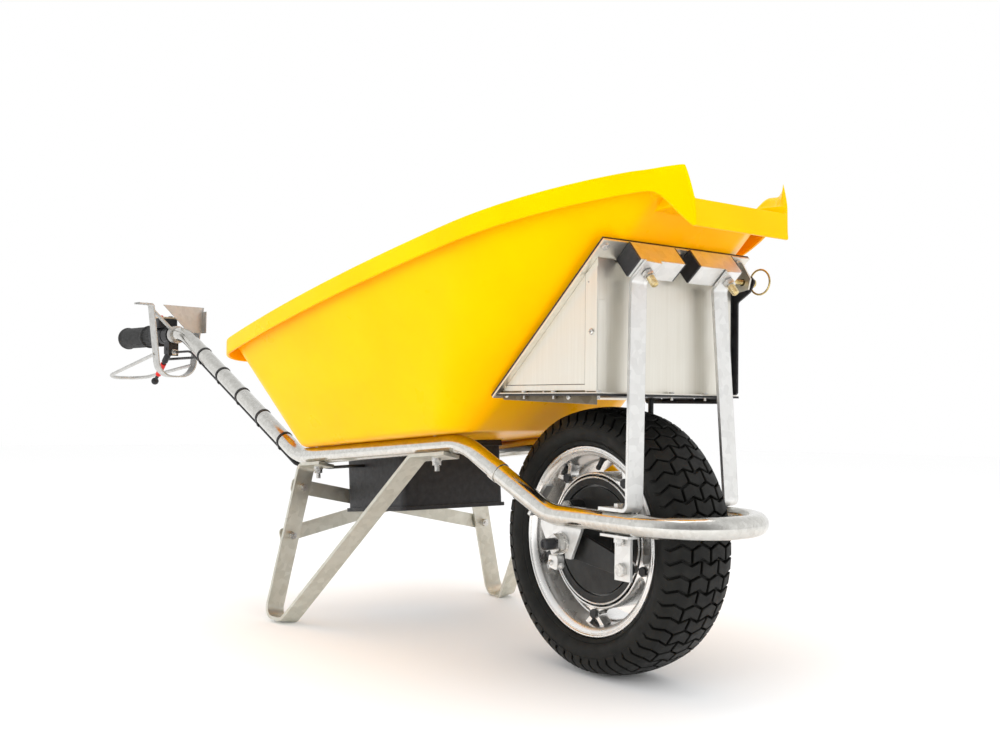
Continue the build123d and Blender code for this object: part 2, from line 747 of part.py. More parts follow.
ARM_TOP = leg_tab(LEG_ARM_X)
ARM_LOW = leg_low(FOOT_BACK_X, FOOT_RISE)
LEG_POINTS = [leg_tab(LEG_ARM_X + LEG_REAR_TAB), ARM_TOP, ARM_LOW,
              leg_low(FOOT_BACK_X + FOOT_LENGTH, FOOT_RISE),
              leg_tab(LEG_FRONT_X), leg_tab(LEG_FRONT_X + LEG_FRONT_TAB)]
LEG_RADII = [TAB_BEND_R, FOOT_BEND_R, FOOT_BEND_R, TAB_BEND_R]


def on_arm(z):
    """A point on the middle of the leg's rear arm."""
    return ARM_TOP + (ARM_LOW - ARM_TOP) * ((ARM_TOP.Z - z) / (ARM_TOP.Z - ARM_LOW.Z))


def make_legs():
    leg = bent_bar(LEG_POINTS, LEG_RADII, LEG_NORMAL, LEG_WIDTH, LEG_T)
    leg -= box((HANDLE_END_X, HANDLE_END_X, -CUT), (-HANDLE_END_X, -HANDLE_END_X, 0))
    solid_leg = leg
    bolts = []
    nuts = []
    for spot in LEG_BOLTS:
        leg -= rod(spot, spot - BED_NORMAL * 2 * CUT, LEG_BOLT_R + BOLT_PLAY)
        floor = spot + BED_NORMAL * (TUBE_R + FIT + TRAY_WALL)
        tab = spot - BED_NORMAL * (TUBE_R + LEG_T)
        head = rod(floor + BED_NORMAL * FIT, floor + BED_NORMAL * COACH_HEAD_T, COACH_HEAD_R)
        head += rod(floor + BED_NORMAL * COACH_HEAD_T, floor + BED_NORMAL * COACH_DOME_T, COACH_DOME_R)
        bolts.append(head + rod(floor + BED_NORMAL, tab - BED_NORMAL * BOLT_TAIL, LEG_BOLT_R))
        seat = tab - BED_NORMAL * LEG_WASHER_T
        washer = rod(tab + BED_NORMAL * LEG_T, seat, WASHER_R) - solid_leg
        washer = washer.solids().sort_by(Axis.Z)[0]
        nut = hexagon(seat + BED_NORMAL * FIT, seat - BED_NORMAL * NUT_T, NUT_FLATS) + washer
        nuts.append(nut - rod(spot, spot - BED_NORMAL * 3 * CUT, LEG_BOLT_R + RUN))
    keep("leg_fasteners", *bolts, *[other_side(bolt) for bolt in bolts])
    keep("leg_fasteners", *nuts, *[other_side(nut) for nut in nuts])

    high = on_arm(BRACE_HIGH_Z)
    low = flip(on_arm(BRACE_LOW_Z))
    back = min(high.X, low.X) - LEG_T / 2 - BRACE_GAP - LEG_WIDTH / 2 * abs(FORWARD.Y)
    brace_bolts = []
    spacers = []
    bars = []
    for layer, sign in enumerate((-1, 1)):
        face_x = back - layer * (BRACE_T + 2 * FIT)
        ends = [Vector(face_x, spot.Y * (1 if sign < 0 else -1), spot.Z) for spot in (high, low)]
        run = (ends[1] - ends[0]).normalized()
        middle = (ends[0] + ends[1]) / 2
        length = (ends[1] - ends[0]).length + 2 * BRACE_END
        across_bar = Plane(origin=middle, x_dir=run, z_dir=(-1, 0, 0))
        bar = extrude(across_bar * RectangleRounded(length, BRACE_WIDTH, BRACE_CORNER_R), amount=BRACE_T)
        for end in ends:
            bar -= rod(end + AHEAD * CUT, end - AHEAD * CUT, BRACE_BOLT_R + BOLT_PLAY)
            near = end.Y < 0
            arm = on_arm(end.Z)
            full_leg = solid_leg if near else other_side(solid_leg)
            rear = Vector(face_x - BRACE_T - FIT, end.Y, end.Z)
            front = Vector(arm.X + LEG_T / 2 + NUT_T + BRACE_NUT_LEAN, end.Y, end.Z)
            head = hexagon(rear, rear - AHEAD * HEAD_T, NUT_FLATS)
            brace_bolts.append(head + rod(rear, front + AHEAD * 2, BRACE_BOLT_R))
            inside = Vector(arm.X, end.Y, end.Z)
            spacer = rod(Vector(face_x + FIT, end.Y, end.Z), inside, WASHER_R) - full_leg
            spacer = spacer.solids().sort_by(Axis.X)[0]
            spacers.append(spacer - rod(rear, front, BRACE_BOLT_R + RUN))
            nut = hexagon(inside, front, NUT_FLATS) - full_leg
            nut = nut.solids().sort_by(Axis.X)[-1]
            spacers.append(nut - rod(rear, front + AHEAD * CUT, BRACE_BOLT_R + RUN))
        bars.append(bar)
    for z in (BRACE_HIGH_Z, BRACE_LOW_Z):
        spot = on_arm(z)
        leg -= rod(spot + AHEAD * CUT, spot - AHEAD * CUT, BRACE_BOLT_R + 3 * BOLT_PLAY)
    keep("right_leg", leg)
    keep("left_leg", other_side(leg))
    keep("braces", *bars)
    keep("leg_fasteners", *brace_bolts)
    keep("leg_fasteners", *spacers)


make_legs()


# Control housing

HOUSING_BACK = (HOUSING_BOTTOM_Z - plate_under_z(0)) / WALL_RISE + 2
PLATE_PLANE = Plane(origin=PLATE_LOW, x_dir=PLATE_DIR, z_dir=PLATE_NORMAL)
PAN_T = 3.0
DOOR_Y = HOUSING_HALF + 4.0
EAR_Y = HOUSING_HALF - DOOR_GAP
HINGE_Y = DOOR_Y + DOOR_T / 2
HINGE_Z = HOUSING_BOTTOM_Z - PAN_T - HINGE_R - DOOR_GAP
HINGE_START_X = HOUSING_BACK + 30
HINGE_END_X = HOUSING_FRONT_X - 10
LEAD_GLAND = Vector(-LEAD_SETBACK, HOUSING_HALF - LEAD_INSET, HOUSING_BOTTOM_Z)


def side_face(points, y):
    """A flat outline in the X, Z plane at a given Y."""
    plane = Plane(origin=(0, y, 0), x_dir=(1, 0, 0), z_dir=(0, -1, 0))
    return plane * make_face(Polyline(*points, close=True))


def block_solid(start, end, size):
    """A square bar across the barrow, turned to the plate's slope."""
    plane = Plane(origin=(BLOCK_CENTRE.X, start, BLOCK_CENTRE.Z), x_dir=PLATE_DIR, z_dir=(0, 1, 0))
    return extrude(plane * Rectangle(size, size), amount=end - start)


def make_housing():
    length = PLATE_RUN.length
    bolt_lines = [strut_bolt_line(sign) for sign in (-1, 1)]
    sheet = PLATE_PLANE * (Pos(length / 2, 0) * Rectangle(length, 2 * PLATE_HALF))
    plate = extrude(sheet, amount=PLATE_T)
    ear_top = PLATE_TOP_X - 4
    ear_rear = ear_top - EAR_LENGTH / 2
    ear = [(ear_rear, plate_under_z(ear_rear) + 2), (ear_top, plate_under_z(ear_top) + 2),
           (LYNCH_X + 16, LYNCH_Z + 4), (LYNCH_X + 12, LYNCH_Z - 12), (LYNCH_X - 12, LYNCH_Z - 16)]
    ear = extrude(side_face(ear, EAR_Y), amount=DOOR_T)
    pin_line = Vector(LYNCH_X, DOOR_Y, LYNCH_Z)
    ear -= rod(pin_line - SIDE * CUT, pin_line + SIDE * CUT, LYNCH_R + LYNCH_TRAVEL_HOLE)
    plate += ear
    border = 2 * GASKET_WIDTH
    window = PLATE_PLANE * (Pos(length / 2, 0) * Rectangle(length - border, 2 * PLATE_HALF - border))
    gasket = extrude(sheet - window, amount=-GASKET_T)
    gasket = Pos(*(PLATE_NORMAL * -FIT)) * gasket
    screws = []
    for y in (-PLATE_HALF + 8, 0, PLATE_HALF - 20):
        spot = PLATE_TOP - PLATE_DIR * 10 + SIDE * y
        hole = rod(spot - PLATE_NORMAL * CUT, spot + PLATE_NORMAL * CUT, PLATE_SCREW_R + BOLT_PLAY)
        plate -= hole
        gasket -= hole
        under = spot + PLATE_NORMAL * (PLATE_T + FIT)
        head = rod(under, under + PLATE_NORMAL * PLATE_SCREW_HEAD_T, PLATE_SCREW_HEAD_R)
        screws.append(rod(spot - PLATE_NORMAL * (GASKET_T - 1), under, PLATE_SCREW_R) + head)
    for spot in bolt_lines:
        hole = rod(spot, spot - PLATE_NORMAL * 2 * CUT, STRUT_BOLT_R + BOLT_PLAY)
        plate -= hole
        gasket -= hole
    keep("housing_plate", plate)
    keep("gasket", gasket)

    floor = HOUSING_BOTTOM_Z
    front = HOUSING_FRONT_X
    side = extrude(side_face([(HOUSING_BACK, floor), (front, floor), (front, plate_under_z(front) - FIT),
                              (HOUSING_BACK, plate_under_z(HOUSING_BACK) - FIT)], -HOUSING_HALF + PANEL_T),
                   amount=PANEL_T)
    panel = box((front - PANEL_T, -HOUSING_HALF, floor),
                (front, HOUSING_HALF - 4 * PANEL_T, plate_under_z(front) - PANEL_T))
    flange = box((front - PANEL_T, -HOUSING_HALF - HOUSING_FLANGE + 2, floor),
                 (front + HOUSING_FLANGE, HOUSING_HALF - 2 * PANEL_T, floor + PANEL_T))
    flange += box((HOUSING_BACK + 8, -HOUSING_HALF - HOUSING_FLANGE + 2, floor),
                  (front, -HOUSING_HALF + PANEL_T, floor + PANEL_T))
    corner = box((front, -HOUSING_HALF, floor),
                 (front + PANEL_T - 0.3, -HOUSING_HALF + 16, plate_under_z(front) - 2 * CUT))
    shell = side + panel + flange + corner
    for sign in (-1, 1):
        low, high = sorted((sign * (BLOCK_INNER - 5), sign * (BLOCK_OUTER + 5)))
        shell -= block_solid(low, high, BLOCK_SIZE + 6)
    pan = box((HOUSING_BACK, -HOUSING_HALF - HOUSING_FLANGE + 2, floor - PAN_T - FIT),
              (front + HOUSING_FLANGE, HOUSING_HALF, floor - FIT))
    heads = []
    for y in (-HOUSING_HALF - 3, -HOUSING_HALF / 2, 0, HOUSING_HALF / 2, HOUSING_HALF - 14):
        heads.append(Vector(front + HOUSING_FLANGE - 5, y, floor))
    for x in (-40, 30):
        heads.append(Vector(x, -HOUSING_HALF - 5, floor))
    for spot in heads:
        hole = rod(spot - UP * CUT, spot + UP * CUT, PAN_SCREW_R + BOLT_PLAY)
        shell -= hole
        pan -= hole
        top = spot + UP * (PANEL_T + FIT)
        screws.append(rod(top, top + UP * PAN_SCREW_HEAD_T, PAN_SCREW_HEAD_R)
                      + rod(top, spot - UP * PAN_SCREW_LENGTH, PAN_SCREW_R))
    pan -= rod(LEAD_GLAND - UP * CUT, LEAD_GLAND + UP * CUT, MOTOR_CABLE_R + BOLT_PLAY)
    keep("housing_shell", shell)
    keep("housing_fasteners", *screws)

    count = HINGE_KNUCKLES
    pitch = (HINGE_END_X - HINGE_START_X) / count
    axis_start = Vector(HINGE_START_X, HINGE_Y, HINGE_Z)
    door_points = [(HOUSING_BACK + 24, floor + 2), (front + 5, floor + 2), (front + 5, LYNCH_Z - 30),
                   (LYNCH_X + 8, LYNCH_Z - 16), (LYNCH_X + 18, LYNCH_Z), (LYNCH_X + 10, LYNCH_Z + 9),
                   (front, plate_under_z(front) - 6)]
    skin_face = side_face(door_points, DOOR_Y + DOOR_T)
    skin_face = fillet(skin_face.vertices(), 5.0)
    door = extrude(skin_face, amount=DOOR_T)
    inside = [(HOUSING_BACK + 44, floor + 8), (front - 6, floor + 8),
              (front - 6, plate_under_z(front - 6) - 16)]
    ring = side_face(inside, DOOR_Y) - side_face([(HOUSING_BACK + 58, floor + 11), (front - 9, floor + 11),
                                                  (front - 9, plate_under_z(front - 9) - 23)], DOOR_Y)
    door += extrude(ring, amount=DOOR_RIM)
    door -= rod(pin_line - SIDE * CUT, pin_line + SIDE * CUT, LYNCH_R + RUN)
    for index in range(count):
        start = axis_start + AHEAD * (pitch * index + DOOR_GAP / 2)
        end = start + AHEAD * (pitch - DOOR_GAP)
        if index % 2:
            knuckle = rod(start, end, HINGE_R)
            knuckle += box((start.X, DOOR_Y, HINGE_Z), (end.X, DOOR_Y + DOOR_T, floor + 4))
            door += knuckle - rod(start, end, HINGE_PIN_R + RUN)
        else:
            knuckle = rod(start, end, HINGE_R)
            knuckle += box((start.X, HOUSING_HALF - 12, floor - PAN_T - FIT - 2),
                           (end.X, HOUSING_HALF + 2, floor - PAN_T - FIT))
            knuckle += box((start.X, HOUSING_HALF, HINGE_Z), (end.X, HINGE_Y - 1, HINGE_Z + 2))
            knuckle += box((start.X, HOUSING_HALF, HINGE_Z),
                           (end.X, HOUSING_HALF + 2, floor - PAN_T - FIT))
            pan += knuckle - rod(start, end, HINGE_PIN_R + RUN)
    keep("housing_pan", pan)
    keep("door", door)
    axis_end = Vector(HINGE_END_X, HINGE_Y, HINGE_Z)
    keep("housing_fasteners", rod(axis_start - AHEAD * 3, axis_end + AHEAD * 3, HINGE_PIN_R))

    outer = DOOR_Y + DOOR_T + CONTROL_GAP
    pin = rod((LYNCH_X, outer - LYNCH_LENGTH, LYNCH_Z), (LYNCH_X, outer, LYNCH_Z), LYNCH_R)
    pin += rod((LYNCH_X, outer, LYNCH_Z), (LYNCH_X, outer + LYNCH_HEAD, LYNCH_Z), LYNCH_HEAD_R)
    hole_y = outer + LYNCH_HEAD / 2
    eye = Vector(LYNCH_X, hole_y, LYNCH_Z)
    pin -= rod(eye - UP * CUT, eye + UP * CUT, LYNCH_WIRE_R + RING_PLAY)
    keep("lynch_pin", pin)
    centre = Vector(LYNCH_X + LYNCH_RING_R, hole_y, LYNCH_Z)
    keep("lynch_ring", Pos(*centre) * (Rot(90, 0, 0) * Torus(LYNCH_RING_R, LYNCH_WIRE_R)))

    size_x, size_y, size_z = CONTROLLER_SIZE
    low = Vector(front - CONTROLLER_SETBACK, CONTROLLER_INSET - HOUSING_HALF, floor)
    body = box(low, low + Vector(size_x, size_y, size_z * 0.55))
    for index in range(CONTROLLER_FINS):
        x = low.X + (size_x - FIN_T) * index / (CONTROLLER_FINS - 1)
        body += box((x, low.Y + FIN_T, floor + 10), (x + FIN_T, low.Y + size_y - FIN_T, floor + size_z))
    keep("motor_controller", body)


make_housing()


# Struts, square blocks and their bolts

def make_struts():
    height = BLOCK_CENTRE.Z - BLOCK_SIZE * 3 / 7 - NOSE_Z
    rise = Vector(0, WHEEL_HALF - STRUT_TOP_HALF, height).normalized()
    normal = AHEAD.cross(rise)
    axis = Vector(0, -WHEEL_HALF, NOSE_Z)
    foot = TUBE_R + STRUT_T / 2 + FIT
    tab_depth = BLOCK_SIZE / 2 + STRUT_T / 2 + FIT + 1.0
    under = BLOCK_CENTRE + PLATE_NORMAL * tab_depth

    def in_plane(point):
        along = (point.Z - NOSE_Z) / rise.Z
        return axis + AHEAD * point.X + rise * along

    points = [axis + AHEAD * STRUT_FOOT_REAR_X + rise * foot, axis + AHEAD * STRUT_FOOT_X + rise * foot,
              in_plane(under - PLATE_DIR * STRUT_TAB * 0.52),
              in_plane(under + PLATE_DIR * STRUT_TAB * 0.48)]
    strut = bent_bar(points, STRUT_BEND_R, normal, STRUT_WIDTH, STRUT_T)
    line = strut_bolt_line(-1)
    strut -= rod(line, line + PLATE_NORMAL * 2 * CUT, STRUT_BOLT_R + 3 * BOLT_PLAY)
    spot = Vector(FOOT_BOLT_X, -WHEEL_HALF, NOSE_Z)
    strut -= rod(spot, spot + UP * 2 * CUT, FOOT_BOLT_R + 3 * BOLT_PLAY)
    keep("struts", strut, other_side(strut))

    block = block_solid(-BLOCK_OUTER, -BLOCK_INNER, BLOCK_SIZE)
    block -= block_solid(-BLOCK_OUTER - 1, -BLOCK_INNER + 1, BLOCK_SIZE - 2 * BLOCK_WALL)
    through = PLATE_NORMAL * 2 * CUT
    block -= rod(line - through, line + through, STRUT_BOLT_R + BOLT_PLAY)
    keep("blocks", block, other_side(block))
    caps = []
    inside = BLOCK_SIZE - 2 * BLOCK_WALL - 2 * FIT
    for outer, step in ((-BLOCK_OUTER, -1), (-BLOCK_INNER, 1)):
        start, end = sorted((outer, outer + step * BLOCK_CAP_T))
        cap = block_solid(start, end, BLOCK_SIZE - 1)
        start, end = sorted((outer - step * BLOCK_PLUG, outer))
        caps.append(cap + block_solid(start, end, inside))
    keep("block_caps", *caps, *[other_side(cap) for cap in caps])

    top = line - PLATE_NORMAL * (BLOCK_SIZE / 2 + PLATE_T + GASKET_T + TRAY_WALL + 1 + 6 * FIT)
    low = line + PLATE_NORMAL * (tab_depth + STRUT_T / 2 + 1.0)
    bolt = rod(top, low + PLATE_NORMAL * (BOLT_TAIL + 2), STRUT_BOLT_R)
    bolt += rod(top, top - PLATE_NORMAL * STRUT_HEAD_T, STRUT_HEAD_R)
    nut = hexagon(low, low + PLATE_NORMAL * STRUT_NUT_T, STRUT_NUT_FLATS)
    nut -= rod(line, low + PLATE_NORMAL * CUT, STRUT_BOLT_R + RUN)
    keep("strut_fasteners", bolt, other_side(bolt))
    keep("strut_fasteners", nut, other_side(nut))

    head = spot + UP * (TUBE_R + STRUT_T + 3 * FIT)
    end = spot - UP * (TUBE_R + TORQUE_FLANGE_T + FIT)
    foot_bolt = hexagon(head, head + UP * (HEAD_T + 1), NUT_FLATS)
    foot_bolt += rod(end - UP * (NUT_T + HEAD_T), head, FOOT_BOLT_R)
    foot_nut = hexagon(end, end - UP * NUT_T, NUT_FLATS) - rod(end - UP * CUT, spot, FOOT_BOLT_R + RUN)
    keep("strut_fasteners", foot_bolt, other_side(foot_bolt))
    keep("strut_fasteners", foot_nut, other_side(foot_nut))


make_struts()


# Battery box

def make_battery():
    run = math.hypot(1, BED_SLOPE) * (BATTERY_FRONT_X - BATTERY_REAR_X)
    base = Plane(origin=(BATTERY_REAR_X, 0, bed_z(BATTERY_REAR_X) - FIT), x_dir=(1, 0, BED_SLOPE),
                 z_dir=BED_NORMAL)

    def crate(grow, low, high):
        face = RectangleRounded(run + 2 * grow, 2 * (BATTERY_HALF + grow), BATTERY_CORNER_R)
        return extrude(base * (Pos(run / 2, 0, low) * face), amount=high - low)

    lid = crate(BATTERY_LIP, -BATTERY_LID_T, 0)
    top = -BATTERY_LID_T - FIT
    case = crate(0, -BATTERY_DROP, top) + crate(BATTERY_LIP, -BATTERY_DROP, -BATTERY_DROP + BATTERY_RIB)
    case += crate(BATTERY_LIP, top - BATTERY_RIB, top)
    case -= crate(-BATTERY_WALL, -BATTERY_DROP + BATTERY_WALL, top + 1)
    entry_x = BATTERY_REAR_X + LOOM_ENTRY
    entry = Vector(entry_x, -BATTERY_HALF, bed_z(entry_x) - LOOM_ENTRY_DROP)
    case -= rod(entry - SIDE * CUT, entry + SIDE * CUT, LOOM_R + BOLT_PLAY)
    bolts = []
    for spot in battery_bolts():
        lid -= rod(spot - BED_NORMAL * CUT, spot + BED_NORMAL * CUT, BATTERY_BOLT_R + BOLT_PLAY)
        floor = spot + BED_NORMAL * (TRAY_WALL + FIT)
        under = spot - BED_NORMAL * (BATTERY_LID_T + 2 * FIT)
        bolt = rod(under - BED_NORMAL * (HEAD_T + 3), floor, BATTERY_BOLT_R)
        bolt += rod(floor, floor + BED_NORMAL * COACH_HEAD_T, BATTERY_HEAD_R)
        bolts.append(bolt + hexagon(under, under - BED_NORMAL * HEAD_T, BATTERY_NUT_FLATS))
    keep("battery_box", case)
    keep("battery_lid", lid)
    keep("battery_fasteners", *bolts)
    pack_top = -BATTERY_HEADROOM
    keep("battery_pack", crate(-3 * BATTERY_WALL, -BATTERY_DROP + BATTERY_WALL + FIT, pack_top))
    for y in (-TERMINAL_HALF, TERMINAL_HALF):
        post = base * (Pos(run / 2, y, pack_top + FIT) * Circle(TERMINAL_R))
        keep("battery_terminals", extrude(post, amount=TERMINAL_RISE))
    fuse = base * (Pos(run / 2, 0, pack_top + FIT) * RectangleRounded(24, TERMINAL_HALF, 5))
    keep("battery_terminals", extrude(fuse, amount=TERMINAL_RISE + 2))
    return entry


LOOM_END = make_battery()


# Wheel

SPOKES = [54 + 360 / SPOKE_COUNT * index for index in range(SPOKE_COUNT)]
HUB_FACE = HUB_FRONT - HUB_FLANGE_T
HUB_BORE = HUB_R - HUB_WALL
WEB_BACK = HUB_WEB / 2
COVER_BACK = HUB_BACK + HUB_COVER_T
RIM_INNER_R = RIM_SEAT_R - RIM_WALL
BEAD_HALF = RIM_HALF - RIM_LIP


def across(y, radius):
    """A point of a turned profile."""
    return (y, AXLE_Z + radius)


def make_wheel():
    side = TYRE_HALF
    shoulder = TYRE_R - CROWN_DROP
    middle = (RIM_R + TYRE_R) / 2 - 3
    bead = BEAD_HALF - FIT
    bead_in = bead - BEAD_WIDTH
    bead_top = RIM_SEAT_R + BEAD_HEIGHT
    hollow = TYRE_R - TYRE_WALL
    crown = bead_in + 6
    edges = [ThreePointArc(across(-SHOULDER_HALF, shoulder), across(0, TYRE_R),
                           across(SHOULDER_HALF, shoulder)),
             ThreePointArc(across(-crown, hollow - 4), across(0, hollow), across(crown, hollow - 4))]
    for sign in (-1, 1):
        edges.append(ThreePointArc(across(sign * bead_in, bead_top),
                                   across(sign * (side - TYRE_WALL - 2), middle),
                                   across(sign * crown, hollow - 4)))
        edges.append(ThreePointArc(across(sign * SHOULDER_HALF, shoulder), across(sign * side, middle),
                                   across(sign * (RIM_HALF + 2), RIM_R + 3)))
        edges.append(Polyline(across(sign * (RIM_HALF + 2), RIM_R + 3), across(sign * bead, RIM_R + 1),
                              across(sign * bead, RIM_SEAT_R + FIT),
                              across(sign * bead_in, RIM_SEAT_R + FIT),
                              across(sign * bead_in, bead_top)))
    tyre = revolve(Plane.YZ * make_face(edges), Axis((0, 0, AXLE_Z), SIDE))
    keep("tyre", tyre)

    rim = turned([(-RIM_HALF, RIM_R), (-BEAD_HALF, RIM_R), (-BEAD_HALF, RIM_SEAT_R),
                  (BEAD_HALF, RIM_SEAT_R), (BEAD_HALF, RIM_R), (RIM_HALF, RIM_R),
                  (RIM_HALF, RIM_SEAT_R + 5), (BEAD_HALF, RIM_INNER_R), (-BEAD_HALF, RIM_INNER_R),
                  (-RIM_HALF, RIM_SEAT_R + 5)])
    front = HUB_FRONT + FIT
    inner = HUB_R + FIT
    ring = inner + RING_WALL
    rim += turned([(front, inner), (front, ring), (RING_BACK, ring), (RING_BACK, inner)])
    ears = []
    bolts = []
    for angle in SPOKES:
        half = SPOKE_SPAN_DEG / 2
        rim += sector(inner + 1, RIM_INNER_R + 2, angle - half, angle + half, front, SPOKE_BACK)
        spot = around(HUB_BOLT_PCD_R, angle, HUB_FACE)
        rim -= rod(spot, spot + SIDE * CUT, HUB_BOLT_R + BOLT_PLAY)
        ears.append(spot)
        head = spot - SIDE * FIT
        bolts.append(hexagon(head, head - SIDE * HEAD_T, NUT_FLATS)
                     + rod(head, head + SIDE * HUB_BOLT_LENGTH, HUB_BOLT_R))
    turn = SPOKES[0] + 180 / SPOKE_COUNT
    valve = around(RIM_INNER_R - 1, turn, VALVE_FRONT)
    stem = rod(valve, around(RIM_INNER_R - VALVE_REACH, turn, VALVE_FRONT - VALVE_LEAN), VALVE_R)
    keep("rim", rim + stem)

    boss = BEARING_R + 8
    race = WEB_BACK - BEARING_WIDTH
    drum = turned([(HUB_FACE, HUB_R), (HUB_BACK, HUB_R), (HUB_BACK, HUB_BORE), (HUB_FACE, HUB_BORE)])
    for spot in ears:
        ear = rod(spot, spot + SIDE * HUB_FLANGE_T, HUB_EAR_R)
        inward = Vector(0, spot.Y, AXLE_Z) + (spot - Vector(0, spot.Y, AXLE_Z)) * 0.84
        ear += rod(inward, inward + SIDE * HUB_FLANGE_T, HUB_EAR_R + 3)
        drum += ear - rod(spot, spot + SIDE * CUT, HUB_BOLT_R + BOLT_PLAY)
    drum -= rod((0, HUB_FACE - 1, AXLE_Z), (0, HUB_BACK, AXLE_Z), HUB_BORE)
    seat = HUB_BORE - RUN
    web = turned([(-WEB_BACK, seat), (WEB_BACK, seat), (WEB_BACK, BEARING_R), (race, BEARING_R),
                  (race, boss), (-WEB_BACK, boss)])
    keep("hub_shell", drum, web)

    cover_front = COVER_BACK - BEARING_WIDTH
    cover = turned([(HUB_BACK + FIT, HUB_R), (COVER_BACK, HUB_R - 5), (COVER_BACK, BEARING_R),
                    (cover_front, BEARING_R), (cover_front, boss), (HUB_BACK + FIT, boss)])
    for index in range(8):
        spot = around(HUB_R - 7, 45 * index, HUB_BACK)
        start = Vector(spot.X, COVER_BACK - 0.5, spot.Z)
        cover += rod(start, start + SIDE * 3.5, 4.0)
    keep("hub_cover", cover)
    races = []
    for start in (race, cover_front):
        races.append(turned([(start, AXLE_R + RUN), (start, BEARING_R - RUN),
                             (start + BEARING_WIDTH, BEARING_R - RUN),
                             (start + BEARING_WIDTH, AXLE_R + RUN)]))
    keep("bearings", *races)
    magnets = []
    step = 360 / MAGNET_COUNT
    for index in range(MAGNET_COUNT):
        magnets.append(sector(HUB_BORE - RUN - MAGNET_T, HUB_BORE - RUN, step * index + 1.2,
                              step * (index + 1) - 1.2, WEB_BACK + 5, HUB_BACK - 6))
    keep("magnets", *magnets)
    liner = HUB_FRONT + 2
    keep("drum_liner", turned([(liner, HUB_BORE - RUN), (liner + LINER_WIDTH, HUB_BORE - RUN),
                               (liner + LINER_WIDTH, HUB_BORE - LINER_T), (liner, HUB_BORE - LINER_T)]))
    keep("hub_bolts", *bolts)


make_wheel()


# Axle, stator and drum brake

DRUM_R = HUB_BORE - LINER_T
STATOR_R = HUB_BORE - RUN - MAGNET_T - AIR_GAP
CAM_CENTRE = around(CAM_R, CAM_ANGLE_DEG, 0)
ANCHOR = around(CAM_R, CAM_ANGLE_DEG + 180, 0)
ARM_ANGLE = math.radians(270 - BRAKE_ARM_LEAN_DEG)
ARM_TIP = CAM_CENTRE + Vector(math.cos(ARM_ANGLE), 0, math.sin(ARM_ANGLE)) * BRAKE_ARM_LENGTH
TORQUE_X = FOOT_BOLT_X
TORQUE_Z = AXLE_Z - TORQUE_DROP


def make_axle():
    shoulder = DROPOUT_IN - FIT
    axle = rod((0, -shoulder, AXLE_Z), (0, shoulder, AXLE_Z), AXLE_R)
    axle += rod((0, -AXLE_END, AXLE_Z), (0, AXLE_END, AXLE_Z), AXLE_END_R)
    axle -= rod((0, AXLE_END - 12, AXLE_Z), (0, AXLE_END + 1, AXLE_Z), MOTOR_CABLE_R + RUN)
    keep("axle", axle)
    bore = AXLE_END_R + RUN
    washer = WHEEL_HALF + DROPOUT_T / 2 + FIT
    nut = washer + WASHER_T + FIT
    end = nut + AXLE_NUT_T
    for sign in (-1, 1):
        ring = pipe((0, sign * washer, AXLE_Z), (0, sign * (washer + WASHER_T), AXLE_Z),
                    AXLE_WASHER_R, bore)
        body = hexagon((0, sign * nut, AXLE_Z), (0, sign * end, AXLE_Z), AXLE_NUT_FLATS)
        body -= rod((0, sign * nut, AXLE_Z), (0, sign * end, AXLE_Z), bore)
        keep("axle_nuts", ring, body)
    sleeve = AXLE_R + RUN
    for start, stop in ((-shoulder, BRAKE_BOSS_END - FIT), (COVER_BACK + 3, shoulder)):
        keep("axle_nuts", pipe((0, start, AXLE_Z), (0, stop, AXLE_Z), AXLE_WASHER_R, sleeve))
    cap = rod((0, -end - FIT, AXLE_Z), (0, -end - FIT - AXLE_CAP_LENGTH, AXLE_Z), AXLE_CAP_R)
    cap -= rod((0, 0, AXLE_Z), (0, -AXLE_END - FIT, AXLE_Z), bore)
    keep("axle_cap", cap)

    front = WEB_BACK + 6
    back = front + STATOR_T
    core = turned([(front, STATOR_R - 28), (back, STATOR_R - 28), (back, STATOR_R), (front, STATOR_R)])
    core += turned([(front + 8, sleeve + FIT), (front + 18, sleeve + FIT), (front + 18, STATOR_R - 26),
                    (front + 8, STATOR_R - 26)])
    coils = []
    step = 360 / STATOR_TEETH
    for index in range(STATOR_TEETH):
        middle = step * index
        core -= sector(STATOR_R - 22, STATOR_R - 4, middle - 6, middle + 6, front - 1, back + 1)
        core -= sector(STATOR_R - 5, STATOR_R + 1, middle - 1.5, middle + 1.5, front - 1, back + 1)
        coils.append(sector(STATOR_R - 21.5, STATOR_R - 5, middle - 5.4, middle + 5.4,
                            front - 3, back + 3))
    keep("stator", core)
    keep("windings", *coils)


